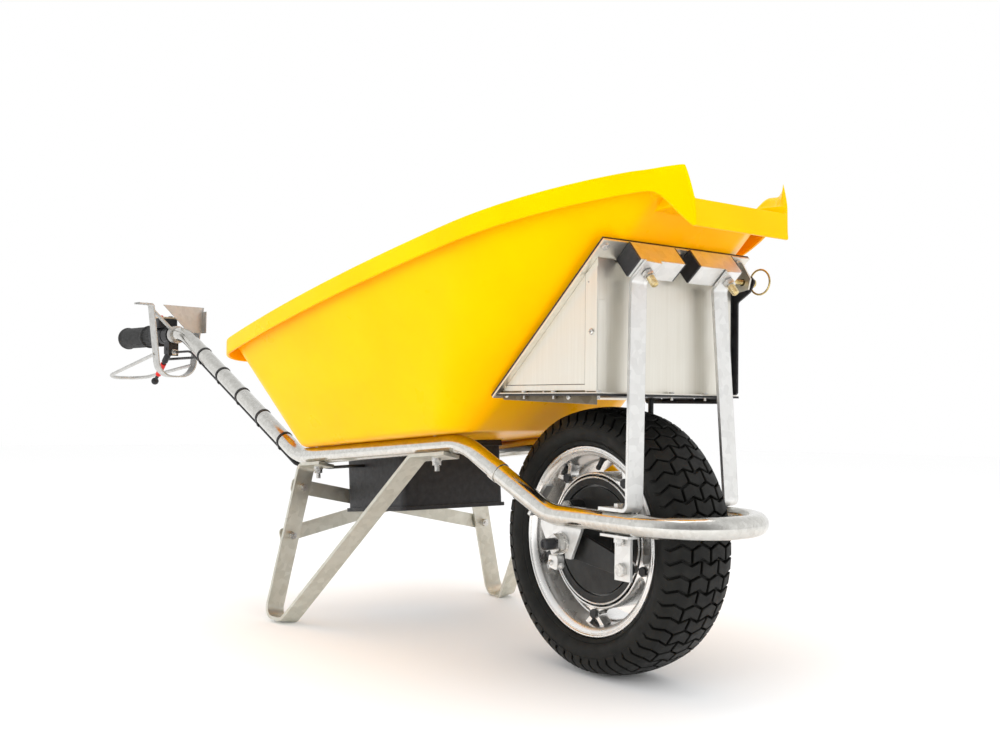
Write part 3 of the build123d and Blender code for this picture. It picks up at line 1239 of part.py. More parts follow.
def make_brake():
    back = HUB_FRONT
    face = back - BRAKE_PLATE_T
    bore = AXLE_R + RUN
    plate = turned([(face, bore), (face, BRAKE_PLATE_R), (back, BRAKE_PLATE_R), (back, bore)])
    plate += turned([(BRAKE_BOSS_END, bore), (BRAKE_BOSS_END, BRAKE_BOSS_R - 8), (face - 20, BRAKE_BOSS_R),
                     (face + 1, BRAKE_BOSS_R + 6), (face + 1, bore)])
    arm_plane = Plane(origin=(0, BRAKE_BOSS_END + REACTION_T, AXLE_Z), x_dir=AHEAD, z_dir=-SIDE)
    torque = (TORQUE_X, TORQUE_Z - AXLE_Z)
    outline = make_hull([Circle(BRAKE_BOSS_R - 8).edge(), (Pos(*torque) * Circle(12)).edge()])
    plate += extrude(arm_plane * outline, amount=REACTION_T)
    plate -= rod((0, -AXLE_END, AXLE_Z), (0, 0, AXLE_Z), bore)
    pivot = Vector(CAM_CENTRE.X, 0, CAM_CENTRE.Z)
    arm_back = BRAKE_ARM_Y + BRAKE_ARM_T
    plate += rod(pivot + SIDE * (arm_back + 2), pivot + SIDE * (face + 1), CAM_SHAFT_R + 5)
    plate -= rod(pivot - SIDE * AXLE_END, pivot, CAM_SHAFT_R + RUN)
    bolt = Vector(TORQUE_X, BRAKE_BOSS_END, TORQUE_Z)
    plate -= rod(bolt - SIDE * CUT, bolt + SIDE * CUT, TORQUE_BOLT_R + BOLT_PLAY)
    plate += rod(ANCHOR + SIDE * (face + 1), ANCHOR - SIDE * 6, ANCHOR_R)
    keep("brake_plate", plate)

    outer = DRUM_R - SHOE_GAP
    start = HUB_FRONT + SHOE_SETBACK
    web = start + SHOE_WIDTH / 2
    along = (CAM_CENTRE - Vector(0, 0, AXLE_Z)).normalized()
    for index, name in enumerate(("shoe_rear", "shoe_front")):
        middle = CAM_ANGLE_DEG + (90 if index == 0 else -90)
        half = SHOE_SPAN_DEG / 2
        shoe = sector(outer - SHOE_T, outer, middle - half, middle + half, start, start + SHOE_WIDTH)
        reach = half + 12
        shoe += sector(CAM_R - 10, outer - SHOE_T + 1, middle - reach, middle + reach,
                       web, web + SHOE_WEB)
        cut = Plane(origin=CAM_CENTRE + SIDE * (web - 5), x_dir=along, z_dir=SIDE)
        shoe -= extrude(cut * Rectangle(2 * CUT, 2 * (CAM_HALF + CAM_PLAY)), amount=CUT)
        foot = ANCHOR + SIDE * (web - 5)
        shoe -= rod(foot, foot + SIDE * CUT, ANCHOR_R + CAM_PLAY)
        gap = Plane(origin=foot, x_dir=along, z_dir=SIDE)
        shoe -= extrude(gap * Rectangle(2 * CUT, 3.0), amount=CUT)
        pieces = shoe.solids().sort_by(SortBy.VOLUME)
        keep(name, pieces[-1])

    lobe_plane = Plane(origin=CAM_CENTRE + SIDE * (web - 2), x_dir=along, z_dir=SIDE)
    cam = extrude(lobe_plane * Rectangle(13, 2 * CAM_HALF), amount=SHOE_WEB + 4)
    cam += rod(pivot + SIDE * BRAKE_ARM_Y, pivot + SIDE * web, CAM_SHAFT_R)
    arm_plane = Plane(origin=pivot + SIDE * arm_back, x_dir=AHEAD, z_dir=-SIDE)
    tip = ARM_TIP - CAM_CENTRE
    outline = make_hull([Circle(10).edge(), (Pos(tip.X, tip.Z) * Circle(6)).edge()])
    cam += extrude(arm_plane * outline, amount=BRAKE_ARM_T)
    cam += rod(ARM_TIP + SIDE * arm_back, ARM_TIP + SIDE * (BRAKE_ARM_Y - 14), 2.5)
    keep("brake_arm", cam)


make_axle()
make_brake()


# Torque bracket and cable stop

WIRE_EYE = ARM_TIP + SIDE * (BRAKE_ARM_Y - 4)
CABLE_STOP = Vector(-STOP_SETBACK, BRAKE_ARM_Y - 14, NOSE_Z)
PULL = (CABLE_STOP - WIRE_EYE).normalized()


def make_brackets():
    plate_y = BRAKE_BOSS_END - FIT
    top = NOSE_Z - TUBE_R - RUN
    bracket = box((STRUT_FOOT_REAR_X, -WHEEL_HALF - 10, top - TORQUE_FLANGE_T),
                  (STRUT_FOOT_X, plate_y, top))
    bracket += box((TORQUE_X - TORQUE_HALF, plate_y - TORQUE_PLATE_T, TORQUE_Z - TORQUE_HALF),
                   (TORQUE_X + TORQUE_HALF, plate_y, top))
    spot = Vector(FOOT_BOLT_X, -WHEEL_HALF, NOSE_Z)
    bracket -= rod(spot, spot - UP * 2 * CUT, FOOT_BOLT_R + BOLT_PLAY)
    bolt = Vector(TORQUE_X, plate_y, TORQUE_Z)
    bracket -= rod(bolt - SIDE * CUT, bolt + SIDE * CUT, TORQUE_BOLT_R + BOLT_PLAY)
    keep("frame_brackets", bracket)
    head = bolt - SIDE * (TORQUE_PLATE_T + FIT)
    inside = Vector(TORQUE_X, BRAKE_BOSS_END + REACTION_T + FIT, TORQUE_Z)
    end = inside + SIDE * (STRUT_NUT_T + 1)
    torque = hexagon(head, head - SIDE * NUT_T, TORQUE_FLATS)
    keep("strut_fasteners", torque + rod(head, end, TORQUE_BOLT_R))
    nut = hexagon(inside, inside + SIDE * STRUT_NUT_T, TORQUE_FLATS)
    keep("strut_fasteners", nut - rod(inside - SIDE, end, TORQUE_BOLT_R + RUN))

    side = PULL.cross(UP).normalized()
    stop_plane = Plane(origin=CABLE_STOP, x_dir=side, z_dir=PULL)
    lift = stop_plane.y_dir.Z
    blade = Pos(0, math.copysign(STOP_LIFT, lift)) * Rectangle(STOP_WIDTH, STOP_HEIGHT)
    stop = extrude(stop_plane * blade, amount=STOP_T)
    stop -= SOLID_NOSE
    stop -= rod(CABLE_STOP - PULL * CUT, CABLE_STOP + PULL * CUT, FERRULE_R + RUN)
    keep("frame_brackets", stop.solids().sort_by(Axis.Z)[0])


make_brackets()


# Handle controls, measured from the right tube's rear end

def handle_plane(s):
    """The plane across the right handle at a run from its end: to the left and up."""
    return Plane(origin=beside(s, 0, HANDLE_Z), x_dir=LEFT, z_dir=FORWARD)


def handle_spot(s, left, high):
    """A point beside the right handle."""
    return beside(s, left, HANDLE_Z + high)


def handle_ring(start, end, radius, bore):
    """A ring round the right handle tube."""
    return extrude(handle_plane(start) * (Circle(radius) - Circle(bore)), amount=end - start)


def handle_block(start, end, left, right, low, high):
    """A block beside the right handle."""
    centre = Pos((left + right) / 2, (low + high) / 2)
    face = centre * Rectangle(right - left, high - low)
    return extrude(handle_plane(start) * face, amount=end - start)


GRIP_END = GRIP_LENGTH - GRIP_END_T
SLEEVE_S = GRIP_END + CONTROL_GAP
CLAMP_S = SLEEVE_S + THROTTLE_LENGTH + CONTROL_GAP
DISPLAY_S = CLAMP_S + THROTTLE_CLAMP + 4 * CONTROL_GAP
PERCH_S = DISPLAY_S + DISPLAY_LENGTH + 3 * CONTROL_GAP
HOOP_S = PERCH_S + PERCH_LENGTH + 2 * CONTROL_GAP
SHIELD_S = HOOP_S + GUARD_WIDTH + FIT
PIVOT_S = PERCH_S + PERCH_LENGTH / 2 - 1
DISPLAY_LOW = TUBE_R + CONTROL_GAP
DISPLAY_TOP = DISPLAY_LOW + DISPLAY_HEIGHT
FACE_TOP = DISPLAY_TOP + FIT + DISPLAY_FACE_T
BUTTON_S = DISPLAY_S + DISPLAY_LENGTH / 2
BUTTON_OFFSET = DISPLAY_HALF / 2
LEAN = math.radians(LEVER_LEAN_DEG)
LEVER_DIR = FORWARD * -math.cos(LEAN) - UP * math.sin(LEAN)
PIVOT = handle_spot(PIVOT_S, 0, -LEVER_DROP)
CABLE_LOW = -LEVER_DROP - 8.0


def make_handle():
    bore = TUBE_R + RUN
    grip = handle_ring(0, GRIP_END, GRIP_R, bore)
    grip += extrude(handle_plane(-GRIP_END_T) * Circle(GRIP_R), amount=GRIP_END_T - FIT)
    grip += handle_ring(-FIT, 4, GRIP_R, bore)
    grip += handle_ring(GRIP_END - 5, GRIP_END, GRIP_FLANGE_R, bore)
    for index in range(5):
        start = 18 + 16 * index
        grip += handle_ring(start, start + 9, GRIP_R + 1, bore)
    keep("grips", grip, other_side(grip))

    sleeve = handle_ring(SLEEVE_S, SLEEVE_S + THROTTLE_LENGTH, THROTTLE_R, bore)
    for index in range(12):
        turn = math.radians(30 * index)
        spot = (THROTTLE_R * math.cos(turn), THROTTLE_R * math.sin(turn))
        sleeve += extrude(handle_plane(SLEEVE_S) * (Pos(*spot) * Circle(1.6)), amount=THROTTLE_LENGTH - 5)
    keep("throttle_sleeve", sleeve)
    clamp = handle_ring(CLAMP_S, CLAMP_S + THROTTLE_CLAMP, THROTTLE_R + 2, bore)
    gland = handle_spot(CLAMP_S + THROTTLE_CLAMP / 2, GLAND_LEFT, 0)
    clamp += rod(gland - UP * 8, gland - UP * GLAND_DROP, 6.0)
    clamp -= rod(gland - UP * (GLAND_DROP - 6), gland - UP * (GLAND_DROP + 4), LOOM_R + RUN)
    clamp -= handle_ring(CLAMP_S - 1, CLAMP_S + THROTTLE_CLAMP + 1, bore, 0.5)
    keep("throttle_clamp", clamp)

    end = DISPLAY_S + DISPLAY_LENGTH
    display = handle_block(DISPLAY_S, end, -DISPLAY_HALF, DISPLAY_HALF, DISPLAY_LOW, DISPLAY_TOP)
    display = fillet(display.edges().filter_by(Axis.Z), 4.0)
    band = handle_ring(DISPLAY_S + 4, end - 4, TUBE_R + 4, bore)
    display += band
    half = DISPLAY_HALF - 1
    face = handle_block(DISPLAY_S + 1, end - 1, -half, half, DISPLAY_TOP + FIT, FACE_TOP)
    face = fillet(face.edges().filter_by(Axis.Z), 3.5)
    for name, side in (("power_button", -1), ("mode_button", 1)):
        spot = handle_spot(BUTTON_S, side * BUTTON_OFFSET, 0)
        low = spot + UP * (DISPLAY_TOP - 4)
        display -= rod(low - UP * (BUTTON_TRAVEL + 1), low + UP * 20, BUTTON_R + 0.4)
        face -= rod(low - UP * 10, low + UP * 20, BUTTON_R + 0.4)
        keep(name, rod(low, spot + UP * (FACE_TOP + BUTTON_RISE), BUTTON_R))
    keep("display_box", display)
    keep("display_face", face)

    perch = handle_ring(PERCH_S, PERCH_S + PERCH_LENGTH, TUBE_R + PERCH_T, bore)
    cheek = LEVER_HALF + CONTROL_GAP
    for side in (-1, 1):
        left, right = sorted((side * cheek, side * (cheek + 3)))
        perch += handle_block(PERCH_S + 1, PERCH_S + PERCH_LENGTH - 4, left, right, -LEVER_DROP - 12, -12)
    perch += handle_block(PERCH_S + PERCH_LENGTH - 4, PERCH_S + PERCH_LENGTH, -cheek - 3, cheek + 3,
                          CABLE_LOW - 8, -12)
    perch -= handle_ring(PERCH_S - 1, PERCH_S + PERCH_LENGTH + 1, bore, 0.5)
    cable = handle_spot(PERCH_S, 0, CABLE_LOW)
    perch -= rod(cable, cable + FORWARD * 60, ADJUSTER_R + RUN)
    perch -= rod(PIVOT - LEFT * CUT, PIVOT + LEFT * CUT, LEVER_PIN_R + RUN)
    pin = rod(PIVOT - LEFT * (cheek + 4), PIVOT + LEFT * (cheek + 4), LEVER_PIN_R)
    keep("lever_perch", perch, pin)
    adjuster_start = cable + FORWARD * (PERCH_LENGTH - 3)
    adjuster = rod(adjuster_start, adjuster_start + FORWARD * ADJUSTER_LENGTH, ADJUSTER_R)
    nut = adjuster_start + FORWARD * (3 + FIT)
    adjuster += hexagon(nut, nut + FORWARD * 4, NUT_FLATS)
    keep("cable_ends", adjuster - rod(adjuster_start, adjuster_start + FORWARD * 80, ADJUSTER_R - 1.2))

    lever = rod(PIVOT - LEFT * LEVER_HALF, PIVOT + LEFT * LEVER_HALF, 9.0)
    lever += rod(PIVOT, PIVOT + LEVER_DIR * 40, 7.0)
    lever += rod(PIVOT, PIVOT + LEVER_DIR * LEVER_LENGTH, LEVER_ROD_R)
    lever += Plane(origin=PIVOT + LEVER_DIR * LEVER_LENGTH, z_dir=LEVER_DIR) * Sphere(BALL_R)
    lever -= rod(PIVOT - LEFT * CUT, PIVOT + LEFT * CUT, LEVER_PIN_R + RUN)
    sleeve_start = PIVOT + LEVER_DIR * SLEEVE_SETBACK
    sleeve_end = sleeve_start + LEVER_DIR * SLEEVE_LENGTH
    keep("brake_lever", lever)
    keep("lever_sleeve", pipe(sleeve_start, sleeve_end, SLEEVE_R, LEVER_ROD_R + RUN))

    middle = HOOP_S + GUARD_WIDTH / 2
    points = [handle_spot(middle, -GUARD_TOP_HALF - GUARD_TAIL, GUARD_TOP),
              handle_spot(middle, -GUARD_TOP_HALF, GUARD_TOP),
              handle_spot(middle, -GUARD_LOW_HALF, -GUARD_DROP),
              handle_spot(middle, GUARD_LOW_HALF, -GUARD_DROP),
              handle_spot(middle, GUARD_TOP_HALF, GUARD_TOP)]
    hoop = bent_bar(points, [6.0, 36.0, 36.0], FORWARD, GUARD_WIDTH, GUARD_T)
    hoop += handle_ring(HOOP_S + 3, HOOP_S + GUARD_WIDTH - 3, TUBE_R + 4, bore)
    start = handle_spot(middle, -GUARD_TOP_HALF + 2, GUARD_TOP - 12)
    brace = handle_spot(middle, -13, 12) - start
    strip = Plane(origin=start, x_dir=FORWARD, z_dir=brace.normalized()) * Rectangle(14, GUARD_T)
    hoop += extrude(strip, amount=brace.length)
    slant = (GUARD_TOP_HALF - GUARD_LOW_HALF) / (GUARD_TOP + GUARD_DROP)
    near = GUARD_LOW_HALF + slant * (GUARD_DROP - 46)
    far = GUARD_LOW_HALF + slant * (GUARD_DROP - 68)
    loop = [handle_spot(HOOP_S + 2, -near, -46), handle_spot(ROD_TIP_S, -near, -GUARD_DROP),
            handle_spot(ROD_TIP_S, far, -GUARD_DROP), handle_spot(HOOP_S + 2, far, -68)]
    hoop += swept(loop, 38.0, ROD_R)
    hoop -= handle_ring(HOOP_S - 1, HOOP_S + GUARD_WIDTH + 1, bore, 0.5)
    keep("guard", hoop)
    far = GUARD_TOP_HALF - SHIELD_EDGE
    outline = [(-GUARD_TOP_HALF + SHIELD_INSET, GUARD_TOP), (far - 3, GUARD_TOP), (far, SHIELD_LOW),
               (SHIELD_FOOT, SHIELD_LOW)]
    shield = extrude(handle_plane(SHIELD_S) * make_face(Polyline(*outline, close=True)), amount=SHIELD_T)
    shield += handle_block(SHIELD_S, SHIELD_S + SHIELD_FOLD, far - SHIELD_T, far,
                           SHIELD_LOW, GUARD_TOP - 10)
    keep("guard", shield)


make_handle()


# Cables and their ties

SLOPE_FALL = (HANDLE_Z - REAR_BEND_Z) / (run_to(REAR_BEND_X) - run_to(HANDLE_BEND_X))
SLOPE_STRETCH = math.hypot(1, SLOPE_FALL)


def slope_spot(s, left, drop):
    """A point under the sloping part of the right tube, at a drop measured square to it."""
    z = HANDLE_Z - SLOPE_FALL * (s - run_to(HANDLE_BEND_X))
    return beside(s, left, z - drop * SLOPE_STRETCH)


def slope_run(low, drop):
    """The run at which a level line at a height under the handle meets the line below the slope."""
    return run_to(HANDLE_BEND_X) + (-low - drop * SLOPE_STRETCH) / SLOPE_FALL


def bed_spot(s, left, drop):
    """A point beside the level part of the right tube."""
    x = HANDLE_END_X + FORWARD.X * s
    return beside(s, left, REAR_BEND_Z + BED_SLOPE * (x - REAR_BEND_X) - drop)


CABLE_DROP = TUBE_R + LOOM_R + 0.4
CABLE_SIDE = LOOM_R + 0.2


def make_cables():
    brake_start = handle_spot(PERCH_S + PERCH_LENGTH, 0, CABLE_LOW)
    rear_s = run_to(REAR_BEND_X)
    top_s = run_to(TOP_BEND_X)
    end = CABLE_STOP + PULL * (FERRULE_LENGTH - 6)
    join = slope_run(CABLE_LOW, CABLE_DROP)
    points = [brake_start, slope_spot(join, -CABLE_SIDE, CABLE_DROP),
              slope_spot(rear_s - 11, -CABLE_SIDE, CABLE_DROP), bed_spot(rear_s + 30, 21, 19),
              bed_spot(rear_s + 66, 22, 6), bed_spot(top_s - 10, 22, 6), end + PULL * 30, end - PULL * 8]
    cable = swept(points, [50.0, 24.0, 18.0, 24.0, 40.0, 30.0], BRAKE_CABLE_R)
    cable -= rod(end - PULL * 10, end + PULL * 16, WIRE_R + 0.3)
    keep("brake_cable", cable)
    ferrule_start = CABLE_STOP - PULL * 2
    ferrule = rod(ferrule_start, ferrule_start + PULL * FERRULE_LENGTH, FERRULE_R)
    ferrule += rod(CABLE_STOP + PULL * (STOP_T + FIT), CABLE_STOP + PULL * (STOP_T + 4), FERRULE_R + 2)
    ferrule -= rod(ferrule_start - PULL, ferrule_start + PULL * 60, WIRE_R + 0.3)
    ferrule -= rod(end - PULL * (8 + RUN), end + PULL * 60, BRAKE_CABLE_R + RUN)
    keep("cable_ends", ferrule)
    wire = rod(WIRE_EYE + PULL * 6, CABLE_STOP + PULL * 6, WIRE_R)
    wire += pipe(WIRE_EYE - SIDE * 2, WIRE_EYE + SIDE * 2, 7.0, 4.2)
    keep("brake_wire", wire)

    gland = handle_spot(CLAMP_S + THROTTLE_CLAMP / 2, GLAND_LEFT, -GLAND_DROP)
    join = slope_run(-GLAND_DROP - 22, CABLE_DROP)
    points = [gland + UP * 4, gland - UP * 22, slope_spot(join, CABLE_SIDE, CABLE_DROP),
              slope_spot(rear_s - 13, CABLE_SIDE, CABLE_DROP),
              bed_spot(rear_s + 26, 29, 21), bed_spot(run_to(LOOM_TURN_X), 34, 24), LOOM_END - SIDE * 34,
              LOOM_END + SIDE * 6]
    keep("wiring", swept(points, [16.0, 50.0, 20.0, 16.0, 16.0, 14.0], LOOM_R))

    start = Vector(0, AXLE_END - 11, AXLE_Z)
    goal = LEAD_GLAND + UP * 8
    bend = Vector(-LEAD_SETBACK / 2, AXLE_END + 24, NOSE_Z + LEAD_RISE)
    points = [start, start + SIDE * 46, bend, goal - UP * 60, goal]
    keep("wiring", swept(points, [22.0, 60.0, 30.0], MOTOR_CABLE_R))

    slope = (REAR_BEND - HANDLE_BEND).normalized()
    for index in range(TIE_COUNT):
        x = HANDLE_BEND_X + TIE_START + TIE_STEP * index
        share = (x - HANDLE_BEND_X) / (REAR_BEND_X - HANDLE_BEND_X)
        plane = Plane(origin=HANDLE_BEND + (REAR_BEND - HANDLE_BEND) * share, x_dir=LEFT, z_dir=slope)

        def band(grow):
            rings = [Circle(TUBE_R + grow).edge()]
            for side, radius in ((-CABLE_SIDE, BRAKE_CABLE_R), (CABLE_SIDE, LOOM_R)):
                rings.append((Pos(side, -CABLE_DROP) * Circle(radius + grow)).edge())
            return make_hull(rings)

        tie = extrude(plane * (band(TIE_T + RUN) - band(RUN)), amount=TIE_WIDTH)
        lock = extrude(plane * (Pos(TUBE_R + TIE_T + 2, -6) * Rectangle(5, 6)), amount=TIE_WIDTH)
        keep("cable_ties", tie + lock)


make_cables()

# Everything is moved so that the origin is under the middle of the whole barrow.

BOXES = [piece.bounding_box() for solids in NODES.values() for piece in solids]
MIDDLE_X = (min(span.min.X for span in BOXES) + max(span.max.X for span in BOXES)) / 2
MIDDLE_Y = (min(span.min.Y for span in BOXES) + max(span.max.Y for span in BOXES)) / 2
SHIFT = Pos(-MIDDLE_X, -MIDDLE_Y, 0)

for node, solids in NODES.items():
    moved = []
    for piece in solids:
        moved += (SHIFT * piece).solids()
    export_step(Compound(children=moved) if len(moved) > 1 else moved[0], f"parts/{node}.step")
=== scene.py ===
# %% [markdown]
# # An electric wheelbarrow
# A yellow moulded tray rides on a frame of galvanised tube, with a motor and a drum brake in the
# hub of one fat tyre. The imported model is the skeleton: every piece made here is hung on one of its
# bodies.

# %% Load the frame
import json
import math

import bmesh
import bpy
from mathutils import Matrix, Vector


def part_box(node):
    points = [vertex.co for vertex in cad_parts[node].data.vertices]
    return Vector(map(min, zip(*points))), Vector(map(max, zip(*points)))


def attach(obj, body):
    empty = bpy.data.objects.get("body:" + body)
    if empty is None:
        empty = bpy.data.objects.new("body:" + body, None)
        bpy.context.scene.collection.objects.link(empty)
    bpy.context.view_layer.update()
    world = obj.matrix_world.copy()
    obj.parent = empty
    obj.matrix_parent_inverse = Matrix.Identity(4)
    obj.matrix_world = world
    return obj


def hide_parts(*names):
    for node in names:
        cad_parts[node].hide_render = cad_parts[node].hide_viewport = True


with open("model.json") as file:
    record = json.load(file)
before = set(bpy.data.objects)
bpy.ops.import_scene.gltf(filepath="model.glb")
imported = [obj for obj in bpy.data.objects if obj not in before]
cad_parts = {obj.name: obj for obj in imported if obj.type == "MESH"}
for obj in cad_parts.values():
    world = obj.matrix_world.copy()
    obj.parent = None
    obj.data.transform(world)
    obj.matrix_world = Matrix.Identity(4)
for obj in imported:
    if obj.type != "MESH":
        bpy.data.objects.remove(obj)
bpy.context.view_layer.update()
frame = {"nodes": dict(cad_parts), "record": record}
MM = 0.001
tyre_low, tyre_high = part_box("tyre")
WHEEL_X = (tyre_low[0] + tyre_high[0]) / 2
WHEEL_Y = (tyre_low[1] + tyre_high[1]) / 2
AXLE = Vector((WHEEL_X, WHEEL_Y, (tyre_low[2] + tyre_high[2]) / 2))
SLOTS = {part["node"]: part["material_slot"] for part in frame["record"]["subparts"]}


def place(x, y, z):
    """A point in millimetres, measured from the ground under the axle, as a place in the frame."""
    return Vector((WHEEL_X + x * MM, WHEEL_Y + y * MM, z * MM))


# %% [markdown]
# ## Camera
# The barrow is seen from low down at its front right corner, through a slightly wide lens. A camera
# could be set by eye, but the lens, the distance and the small roll were found by lining up the
# solids with the picture, so that every piece lands where the picture shows it.

# %% Camera
EYE = (1249.3, -1142.2, 407.9)
AZIMUTH, ELEVATION, ROLL = math.radians(53.58), math.radians(-1.66), math.radians(0.64)
SENSOR, FOCAL_SHARE, FAR_CLIP = 36, 1.07906, 100


def add_camera():
    """The camera at the photograph's angle, with its small roll."""
    back = Vector((math.sin(AZIMUTH) * math.cos(ELEVATION),
                   -math.cos(AZIMUTH) * math.cos(ELEVATION), math.sin(ELEVATION)))
    level = Vector((math.cos(AZIMUTH), math.sin(AZIMUTH), 0))
    upright = back.cross(level)
    right = level * math.cos(ROLL) + upright * math.sin(ROLL)
    up = upright * math.cos(ROLL) - level * math.sin(ROLL)
    camera = bpy.data.objects.new("camera", bpy.data.cameras.new("camera"))
    bpy.context.scene.collection.objects.link(camera)
    camera.data.sensor_width = SENSOR
    camera.data.lens = SENSOR * FOCAL_SHARE
    camera.data.clip_end = FAR_CLIP
    turn = Matrix((right, up, back)).transposed().to_4x4()
    camera.matrix_world = Matrix.Translation(place(*EYE)) @ turn
    bpy.context.scene.camera = camera


add_camera()
bpy.context.scene.view_settings.view_transform = "Standard"
print("lens:", round(bpy.context.scene.camera.data.lens, 2), "mm")

# %% [markdown]
# ## Shader nodes
# The room and the finishes are built from nodes. They could be wired by hand in the node editor,
# but two small helpers keep each node to one line here, so that every value can be read and changed
# in the script.

# %% Nodes
def add(tree, kind, settings=None, **inputs):
    """A new shader node, with properties from settings and sockets from inputs."""
    node = tree.nodes.new("ShaderNode" + kind)
    for key, value in (settings or {}).items():
        setattr(node, key, value)
    for key, value in inputs.items():
        node.inputs[key.replace("_", " ")].default_value = value
    return node


def wire(tree, source, output, target, socket):
    """Joins one node's output to another node's socket."""
    tree.links.new(source.outputs[output], target.inputs[socket])

# %% [markdown]
# ## Room, lamps and floor
# A studio picture like this is lit by a white tent and a few soft boxes. An image of a studio could
# wrap the world, but a few nodes do it without a file: dull surfaces get one even light, and shiny
# ones see a room that greys overhead and behind the camera. Two of the soft boxes stay out of the
# reflections, since their square shapes would show as hard patches on the tubes. The floor is pale
# and keeps the shadow.

# %% Room
ROOM_LIGHT, ABOVE_SHADE, BEHIND_SHADE = 1.06, 0.8, 0.35


def larger(tree, first, output, second, other):
    """A node that gives the larger of two values."""
    node = add(tree, "Math", {"operation": "MAXIMUM"})
    wire(tree, first, output, node, 0)
    wire(tree, second, other, node, 1)
    return node


def add_room():
    """A white room, greyer overhead and behind the camera, that lights dull surfaces evenly."""
    world = bpy.data.worlds.new("room")
    bpy.context.scene.world = world
    world.use_nodes = True
    tree = world.node_tree
    where = add(tree, "TexCoord")
    split = add(tree, "SeparateXYZ")
    above = add(tree, "MapRange", From_Min=0.40, From_Max=0.80, To_Min=1.0, To_Max=ABOVE_SHADE)
    wire(tree, where, "Generated", split, "Vector")
    wire(tree, split, "Z", above, "Value")
    facing = add(tree, "VectorMath", {"operation": "DOT_PRODUCT"})
    facing.inputs[1].default_value = (math.sin(AZIMUTH), -math.cos(AZIMUTH), 0.1)
    wire(tree, where, "Generated", facing, 0)
    behind = add(tree, "MapRange", From_Min=0.35, From_Max=0.95, To_Min=1.0, To_Max=BEHIND_SHADE)
    wire(tree, facing, "Value", behind, "Value")
    shade = add(tree, "Math", {"operation": "MULTIPLY"})
    wire(tree, above, "Result", shade, 0)
    wire(tree, behind, "Result", shade, 1)
    ray = add(tree, "LightPath")
    mirror = larger(tree, ray, "Is Camera Ray", ray, "Is Glossy Ray")
    clear = larger(tree, mirror, "Value", ray, "Is Transmission Ray")
    strength = add(tree, "MapRange", To_Min=ROOM_LIGHT)
    wire(tree, clear, "Value", strength, "Value")
    wire(tree, shade, "Value", strength, "To Max")
    backdrop = larger(tree, strength, "Result", ray, "Is Camera Ray")
    wire(tree, backdrop, "Value", tree.nodes["Background"], "Strength")
    tree.nodes["Background"].inputs["Color"].default_value = (1, 1, 1, 1)
    return world


print("world:", add_room().name)

# %% Lamps
def add_lamp(name, spot, aim, size, watts, mirrored=True):
    """A square soft box at one spot, turned towards another, seen in shiny surfaces or not."""
    lamp = bpy.data.lights.new(name, "AREA")
    lamp.shape = "SQUARE"
    lamp.size = size
    lamp.energy = watts
    holder = bpy.data.objects.new(name, lamp)
    bpy.context.scene.collection.objects.link(holder)
    holder.location = place(*spot)
    holder.rotation_euler = (place(*spot) - place(*aim)).to_track_quat("Z", "Y").to_euler()
    holder.visible_glossy = mirrored


add_lamp("key", (100, -3400, 800), aim=(-350, -200, 480), size=2.2, watts=62, mirrored=False)
add_lamp("front", (2600, -300, 700), aim=(200, 0, 650), size=1.2, watts=16, mirrored=False)
add_lamp("overhead", (-300, 100, 2900), aim=(-300, 0, 400), size=2.0, watts=22)
print("lamps:", len(bpy.data.lights))

# %% Floor
FLOOR_RADIUS, FLOOR_SIDES, FLOOR_DROP, FLOOR_GREY = 9.0, 96, 0.0005, 0.93
mesh = bpy.data.meshes.new("floor")
shape = bmesh.new()
bmesh.ops.create_circle(shape, cap_ends=True, radius=FLOOR_RADIUS, segments=FLOOR_SIDES)
shape.to_mesh(mesh)
shape.free()
floor = bpy.data.objects.new("floor", mesh)
bpy.context.scene.collection.objects.link(floor)
floor.location = (0, 0, -FLOOR_DROP)
finish = bpy.data.materials.new("floor_paint")
finish.use_nodes = True
shader = finish.node_tree.nodes["Principled BSDF"]
shader.inputs["Base Color"].default_value = (FLOOR_GREY, FLOOR_GREY, FLOOR_GREY, 1)
shader.inputs["Roughness"].default_value = 0.95
shader.inputs["Specular IOR Level"].default_value = 0.0
mesh.materials.append(finish)
print("floor radius:", FLOOR_RADIUS, "m")

# %% [markdown]
# ## Materials
# Each finish is a few layers over one shader: a tint that varies, a roughness that varies, and a
# fine relief. Photographs of surfaces could be wrapped round the pieces, but noise that fills space
# needs no unwrapping. Edges of sheet and cast pieces are rounded in the shading, and rubbed a
# little brighter.

# %% Layers of a finish
def begin(name, colour, metallic=0.0, rough=0.5):
    """A new material with its shader's plain values."""
    finish = bpy.data.materials.new(name)
    finish.use_nodes = True
    shader = finish.node_tree.nodes["Principled BSDF"]
    shader.inputs["Base Color"].default_value = (*colour, 1)
    shader.inputs["Metallic"].default_value = metallic
    shader.inputs["Roughness"].default_value = rough
    return finish, finish.node_tree, shader


def mapped(tree, stretch=(1, 1, 1), origin=None):
    """Object coordinates, stretched, and measured from an origin if one is given."""
    where = add(tree, "TexCoord")
    turn = add(tree, "Mapping", Scale=stretch)
    if origin is not None:
        turn.inputs["Location"].default_value = [-a * b for a, b in zip(origin, stretch)]
    wire(tree, where, "Object", turn, "Vector")
    return turn


def noise(tree, scale, detail, stretch=(1, 1, 1)):
    """A noise layer with a scale in features per metre."""
    layer = add(tree, "TexNoise", Scale=scale, Detail=detail, Roughness=0.55)
    wire(tree, mapped(tree, stretch), "Vector", layer, "Vector")
    return layer, "Fac"


def spangle(tree, scale):
    """Flat crystal patches, as on a zinc coat."""
    layer = add(tree, "TexVoronoi", {"feature": "F1"}, Scale=scale)
    wire(tree, mapped(tree), "Vector", layer, "Vector")
    grey = add(tree, "SeparateColor")
    wire(tree, layer, "Color", grey, "Color")
    return grey, "Red"

